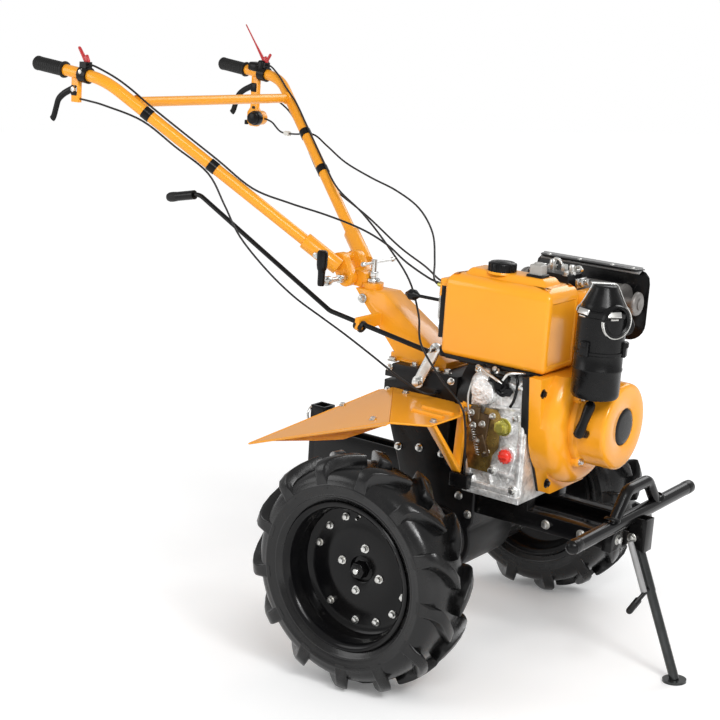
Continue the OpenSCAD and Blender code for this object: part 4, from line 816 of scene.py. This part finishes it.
# The front frame: two black box section rails welded to a front plate, the bumper bar with rounded
# ends and the grab hoop, all in gloss black paint with visible weld beads and plated bolts.
eased("front_rails", 0.003, black_paint)
eased("stand_bracket", 0.0015, black_paint)
painted(black_paint, "bumper_bar", "bumper_hoop")
bumper_x, plate_x = 422, 397
ends, bolts, welds = bmesh.new(), bmesh.new(), bmesh.new()
for side in sides:
    out = (0, side, 0)
    dome = spun(((0, 11), (6, 10), (11, 7), (14.6, 3), (16, -2), (16.4, -8), (16.4, -26), (16, -27),
                 (0, -27)), 32)
    joined(ends, dome, facing((bumper_x, side * 294, 131), out))
    collar = spun(((13, 0), (19, 0), (18, 3), (15, 6), (13, 7)), 28, True)
    joined(ends, collar, facing((bumper_x, side * 112, 146), (0, -side * 0.3, 1)))
    bolted(bolts, [facing((x, side * 84, 129.5), to_top) for x in (84, 178)], 15, 9, 12)
    bolted(bolts, [facing((x, side * 92, 86), out) for x in (250, 340)], 14, 7, 11)
    joined(bolts, hex_bolt(15, 8, 12), facing((bumper_x, side * 76, 92), to_front))
    bead = [Vector((plate_x, side * y, z)) for y, z in ((58, 107), (92, 107), (93, 66))]
    joined(welds, tube(bead, 2.8, 8))
joined(welds, rod((412, -100, 132), (412, 100, 132), 3, 8))
add_piece("bumper_ends", ends, black_plastic)
add_piece("front_frame_bolts", bolts, zinc)
add_piece("front_frame_welds", welds, black_paint)

# The front stand: a dark steel tube leg on a pin between two cheeks, with a round foot, a foot pedal
# with a rubber sleeve, and a grey link rod; it swings back under the frame.
bare_steel = finish_of(
    "bare_steel", (0.045, 0.048, 0.048), (0.014, 0.014, 0.014), (24, 0.7), (0.16, 0.3), (300, 0.00004),
    metal=0.55, slot="black_paint")
painted(bare_steel, "stand_leg")
painted(black_paint, "stand_pedal")
painted(grey_and_highlight, "stand_link")
stand_pivot, stand_lean = (0.687561, 0, 0.322914), radians(-18)
pins = bolted(bmesh.new(), [facing((431, side * 19.5, 84), (0, side, 0)) for side in sides], 16, 7, 11)
add_piece("stand_pin_ends", pins, zinc)
stand_frame = at(*stand_pivot) @ turned(stand_lean, "Y") @ millimetres
sleeve = spun(((0, 32), (4.5, 31.4), (6.8, 29), (7.8, 25), (7.8, 0), (0, 0)), 24)
pedal_end = facing((0, -89.5, -136.7), (0, -1, -0.2))
add_piece("stand_pedal_sleeve", sleeve, rubber, "stand", pedal_end, stand_frame)

# The fenders: yellow pressed sheet steel with a rolled edge, a hanging flap and two stiffening beads,
# bolted to the case and to a pair of bent strap stays that stand on black feet.
painted(yellow_paint, "fender_right", "fender_left")
eased("fender_struts", 0.0008, yellow_paint)
eased("strut_feet", 0.0015, black_paint)
fender_top, fender_fall, edge_steps = 314.5, radians(22), 12
crease_start, crease = Vector((-200, -80)), Vector((172, -262)).normalized()
past_crease = Vector((crease.y, -crease.x))
rear_tip, rear_corner = Vector((-413, -354)), Vector((-28, -340))
fender_outline = (Vector((48, -82)), Vector((48, -291)), rear_corner, rear_tip, Vector((-238, -82)))
flap_shares, flap_drops = (0.12, 0.3, 0.5, 0.68, 0.84, 1), (2, 10, 19, 25, 15, 4)
fender_bolts = ((-285, -165), (-97, -305), (36, -262), (36, -120), (-150, -100))


def fender_point(flat, lift):
    past = max(0.0, (flat - crease_start).dot(past_crease))
    return Vector((*flat, fender_top - past * tan(fender_fall) + lift))


for name, side in (("right", 1), ("left", -1)):
    mirror = Matrix.Scale(side, 4, (0, 1, 0))
    hem = bmesh.new()
    for a, b in zip(fender_outline, fender_outline[1:]):
        edge = [fender_point(a + (b - a) * k / edge_steps, -1.4) for k in range(edge_steps + 1)]
        joined(hem, tube(edge, 2.6, 10))
    flap = bmesh.new()
    upper = [fender_point(rear_tip + (rear_corner - rear_tip) * share, 0) for share in flap_shares]
    lower = [p - Vector((0, -2, drop)) for p, drop in zip(upper, flap_drops)]
    rows = [[flap.verts.new(p) for p in row] for row in (upper, lower)]
    for k in range(len(flap_shares) - 1):
        flap.faces.new((rows[0][k], rows[0][k + 1], rows[1][k + 1], rows[1][k]))
    bmesh.ops.solidify(flap, geom=flap.faces[:], thickness=2)
    bmesh.ops.recalc_face_normals(flap, faces=flap.faces)
    add_piece("fender_edge_" + name, joined(hem, flap), yellow_paint, spot=mirror)
    bolt_spots = [at(*fender_point(Vector(flat), -0.5)) for flat in fender_bolts]
    add_piece("fender_bolts_" + name, bolted(bmesh.new(), bolt_spots, 12, 5, 9), zinc, spot=mirror)

# The rear hitch: a black welded plate socket that takes the square shank of an implement, with a
# plated steel pin and its bent handle through the cross hole.
eased("rear_hitch", 0.002, black_paint)
hitch_x, hitch_z = -466, 166
pin = bent([(hitch_x, y, hitch_z) for y in (-52, 0, 46)], 6, 14)
pin_handle = ((-46, 166), (-58, 172), (-64, 186), (-58, 198), (-50, 204))
joined(pin, bent([(hitch_x, y, z) for y, z in pin_handle], 3, 10))
add_piece("hitch_pin", pin, zinc)

# The handlebar: two bent yellow steel tubes in a welded head, tied by a crossbar, with weld beads at
# the joints and black bands where the cables are clipped.
eased("handle_head", 0.002, yellow_paint, "handlebar")
painted(yellow_paint, "handle_tube_right", "handle_tube_left", "crossbar")
eased("lever_lugs", 0.0012, yellow_paint, "handlebar")
painted(black_plastic, "cable_clips", "lever_housings")
bolts, welds = bmesh.new(), bmesh.new()
for side in sides:
    mirror = Matrix.Scale(side, 4, (0, 1, 0))
    joined(bolts, hex_bolt(12, 7, 9), mirror @ facing((-1027, 352, 955), to_left))
    joined(bolts, hex_bolt(10, 6, 7), mirror @ facing((-998, 358, 1000), (0.1, 1, 0)))
    joined(bolts, hex_bolt(13, 8, 10), mirror @ facing((-440, 97, 603), to_left))
    bead = spun(((12, -2), (16, -2), (17, 0), (15, 3), (12, 4)), 28, True)
    joined(welds, bead, facing((-873, side * 293, 936.7), (0, -side, 0)))
add_piece("handlebar_bolts", bolts, zinc, "handlebar")
add_piece("crossbar_welds", welds, yellow_paint, "handlebar")

# The grips: black rubber mouldings with fine ribs and a round flange, pushed over the tube ends.
# The one on the right stands for the pair of plain grips.
knee, grip_end = Vector((-937, 341, 986)), Vector((-1161, 353, 1009))
rise = (grip_end - knee).normalized()
rib_count, rib_pitch = 12, 6.4
grip_profile = [(0, 6), (9, 5.4), (15, 3), (18, -1), (18.4, -5), (17.2, -8)]
for k in range(rib_count):
    h = -10 - k * rib_pitch
    grip_profile += [(16.6, h), (17.7, h - 1.6), (17.7, h - 3.6), (16.6, h - 5.2)]
grip_profile += [(17, -88), (20, -90), (21, -93), (20, -97), (15, -98), (0, -98)]
for name, side in (("right", -1), ("left", 1)):
    end, way = (Vector((v.x, v.y * side, v.z)) for v in (grip_end, rise))
    piece = add_piece("grip_" + name, spun(grip_profile, 32), rubber, "handlebar", facing(end, way))
    if name == "right":
        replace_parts(piece, "grips")

# The controls: black bent steering levers under the grips, red thumb levers in black housings, and the
# round engine switch on its yellow housing under the left grip, with a white connector in its wire.
lever_red = finish_of(
    "lever_red", (0.44, 0.022, 0.026), (0.32, 0.014, 0.016), (50, 0.5), (0.2, 0.35), (500, 0.00006),
    slot="red_plastic")
white_plastic = finish_of(
    "white_plastic", (0.72, 0.71, 0.66), (0.58, 0.56, 0.50), (60, 0.5), (0.3, 0.45), (500, 0.00008),
    slot="black_plastic")
lever_y, thumb_y = 345.8, 344
switch = spun(((0, -26), (12, -26), (16, -24), (17.5, -20), (17.5, -14), (20, -13), (20.5, -10), (20.5, 2),
               (19, 5), (14, 6), (0, 6)), 36)
switch_spot = facing((-1009, 335, 868), to_left)
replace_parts(add_piece("engine_switch", switch, black_plastic, "handlebar", switch_spot), "switch_cap")
housing = sheet(((-1051, 882), (-1051, 856), (-1040, 843), (-1013, 843), (-1004, 852), (-1004, 884),
                 (-1014, 897), (-1040, 897)), 12, 3, 3)
add_piece("switch_housing", housing, yellow_paint, "handlebar", standing(352))
terminals = block((10, 9, 13), 2)
joined(terminals, block((12, 8, 9), 2), at(26, 0, 44))
add_piece("switch_terminals", terminals, black_plastic, "handlebar", at(-1053, 343, 852))
lock = block((38, 39, 25), 8)
joined(lock, block((20, 35, 34), 6), at(24, 0, 5))
lock_spot = at(-1028, 346, 1010) @ turned(0.1, "Y")
add_piece("clutch_lock_body", lock, black_plastic, "handlebar", lock_spot)
lever_bend = ((-1036, 957), (-1050, 951), (-1072, 940), (-1090, 925), (-1098, 905), (-1106, 882),
              (-1112, 874))
levers = bmesh.new()
for side in sides:
    blade = bent([(x, 0, z) for x, z in lever_bend], 8.6, 16)
    bmesh.ops.scale(blade, vec=(1, 0.6, 1), verts=blade.verts)
    joined(levers, blade, at(0, side * lever_y, 0))
    joined(levers, block((22, 17, 26), 4), at(-1030, side * lever_y, 952))
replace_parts(add_piece("steering_lever_blades", levers, black_plastic, "handlebar"), "steering_levers")
thumbs = bmesh.new()
for side, long, slim in ((-1, 40, 4.6), (1, 122, 2.2)):
    paddle = spun(((0, long), (slim * 0.7, long - 0.8), (slim, long - 4), (slim + 0.6, long * 0.5),
                   (5.4, 12), (6, 4), (5.6, -3), (0, -4)), 20)
    bmesh.ops.scale(paddle, vec=(1, 0.75, 1), verts=paddle.verts)
    joined(thumbs, paddle, facing((-999, side * thumb_y, 1027), (-0.6, 0, 0.8)))
    joined(thumbs, block((17, 9, 20), 3.5), at(-996, side * thumb_y, 1030) @ turned(-0.45, "Y"))
joined(thumbs, block((8, 7, 28), 3), at(-984, thumb_y, 1037) @ turned(0.55, "Y"))
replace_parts(add_piece("thumb_lever_paddles", thumbs, lever_red, "handlebar"), "thumb_levers")
connector = block((22, 12, 13), 2.5)
joined(connector, block((7, 9, 9), 1.5), at(13, 0, 0))
wire_way = Vector((-70, 26, -2)).to_track_quat("X", "Z").to_matrix().to_4x4()
wire_spot = at(-872, 306, 839.5) @ wire_way
add_piece("stop_wire_connector", connector, white_plastic, "handlebar", wire_spot)

# The wheels: dished black steel discs bolted to the hub, with rolled flanges and a valve stem, and
# bias ply tyres with thick slanted lugs, set alternately on the two sides of the tread.
tyre_rubber = finish_of(
    "tyre", (0.0035, 0.0035, 0.0038), (0.010, 0.0095, 0.009), (18, 0.6), (0.17, 0.32), (300, 0.00020),
    shine=0.4)
wheel_out = 0.417
lug_count, lug_start, lug_slant = 13, 4.75, 15
rim_bolt_angles = (109, 134, 159, 226, 262, 289, 314, 339, 46)
half_section = [
    (153.5, 50), (160, 55), (168.5, 58.5), (174, 63), (180, 67), (182.5, 69.6), (184.5, 69.9), (186.5, 69),
    (194, 71.2), (203, 72.3), (206, 73.6), (208.5, 73.6), (210.5, 72.2), (218, 70.8), (226, 67.5), (233, 62),
    (238.5, 54), (243, 40), (245.4, 20), (246, 0)]
section = half_section + [(r, -z) for r, z in reversed(half_section[:-1])]
rim_section = (
    (165.5, 58.5), (168.3, 60), (169, 63), (167, 65), (162, 64.5), (156, 60.5), (151.5, 51), (150.6, 41),
    (147.6, 36), (147.4, 29), (150, 24), (149.6, 14), (147, 0), (141, -4), (128, -5.5), (104, -5), (97, -3),
    (72, -2), (60, -3.5), (34, -4), (30, -6), (30, -14), (60, -15), (120, -14), (140, -16), (146, -22),
    (148, -34), (149, -50), (156, -60), (164, -64), (168.5, -63), (168.5, -58), (160, -57), (153, -48),
    (152.8, 40), (157, 53))
# Steps along a lug: distance from the tread's middle, foot and top radius, foot and top half angle
lug_steps = (
    (3, 240, 268.4, 4.2, 3.0), (14, 240, 269, 4.5, 3.3), (34, 238, 268.2, 4.7, 3.4),
    (50, 233, 265.4, 4.8, 3.4), (61, 226, 259.5, 4.8, 3.3), (69, 216, 249, 4.7, 3.1),
    (73.4, 206, 235, 4.5, 2.8), (72.5, 198, 220, 4.1, 2.4))


def tread_lug():
    lug = box((1, 1, 1))
    long_edges = [e for e in lug.edges if abs(e.verts[0].co.x - e.verts[1].co.x) > 0.5]
    bmesh.ops.subdivide_edges(lug, edges=long_edges, cuts=len(lug_steps) - 2, use_grid_fill=True)
    for v in lug.verts:
        out, low, high, wide_low, wide_high = lug_steps[round((v.co.x + 0.5) * (len(lug_steps) - 1))]
        r, wide = (high, wide_high) if v.co.z > 0 else (low, wide_low)
        angle = radians(lug_start + lug_slant * min(1.0, (out - 5) / 59) + 2 * v.co.y * wide)
        v.co = (r * cos(angle), r * sin(angle), out)
    bmesh.ops.recalc_face_normals(lug, faces=lug.faces)
    return soften(lug, 3.2, 2, 48)


for name, side in (("right", 1), ("left", -1)):
    body = "wheel_" + name
    mirror = Matrix.Scale(side, 4, (0, 1, 0))
    wheel = mirror @ at(axle_fwd, -wheel_out, axle_high) @ turned(pi / 2, "X") @ millimetres
    tyre = spun(section, 104, True)
    for half, shift in ((1, 0), (-1, 0.5)):
        for k in range(lug_count):
            turn = turned(tau / lug_count * (k + shift), "Z")
            joined(tyre, tread_lug(), turn @ Matrix.Scale(half, 4, (0, 0, 1)))
    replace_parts(add_piece("tyre_lugged_" + name, tyre, tyre_rubber, body, base=wheel), "tyre_" + name)
    rim = spun(rim_section, 96, True)
    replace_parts(add_piece("rim_dished_" + name, rim, black_paint, body, base=wheel), "rim_" + name)
    rim_turns = [turned(radians(degrees), "Z") for degrees in rim_bolt_angles]
    hub_turns = [turned(k * tau / 4 + 1.31, "Z") for k in range(4)]
    bolts = bolted(bmesh.new(), [turn @ at(122, 0, -5.5) for turn in rim_turns], 12, 7, 9)
    bolted(bolts, [turn @ at(52, 0, -4) for turn in hub_turns], 12, 8, 10)
    valve = spun(((0, 30), (2.4, 30), (3.2, 28), (3.2, 20), (4.2, 19), (4.2, 0), (0, 0)), 16)
    joined(bolts, valve, facing((12, 134, -4), (-0.1, -0.35, 0.9)))
    add_piece("wheel_bolts_" + name, bolts, zinc, body, base=wheel)
    eased("hub_" + name, 0.002, black_paint, body)
    nut = spun(((0, 18), (6, 17.5), (8, 15), (8.4, 11), (0, 11)), 24)
    joined(nut, rod((-22, -4, 4), (16, 3, 4), 2.2, 10))
    add_piece("axle_pin_" + name, nut, zinc, body, base=wheel)
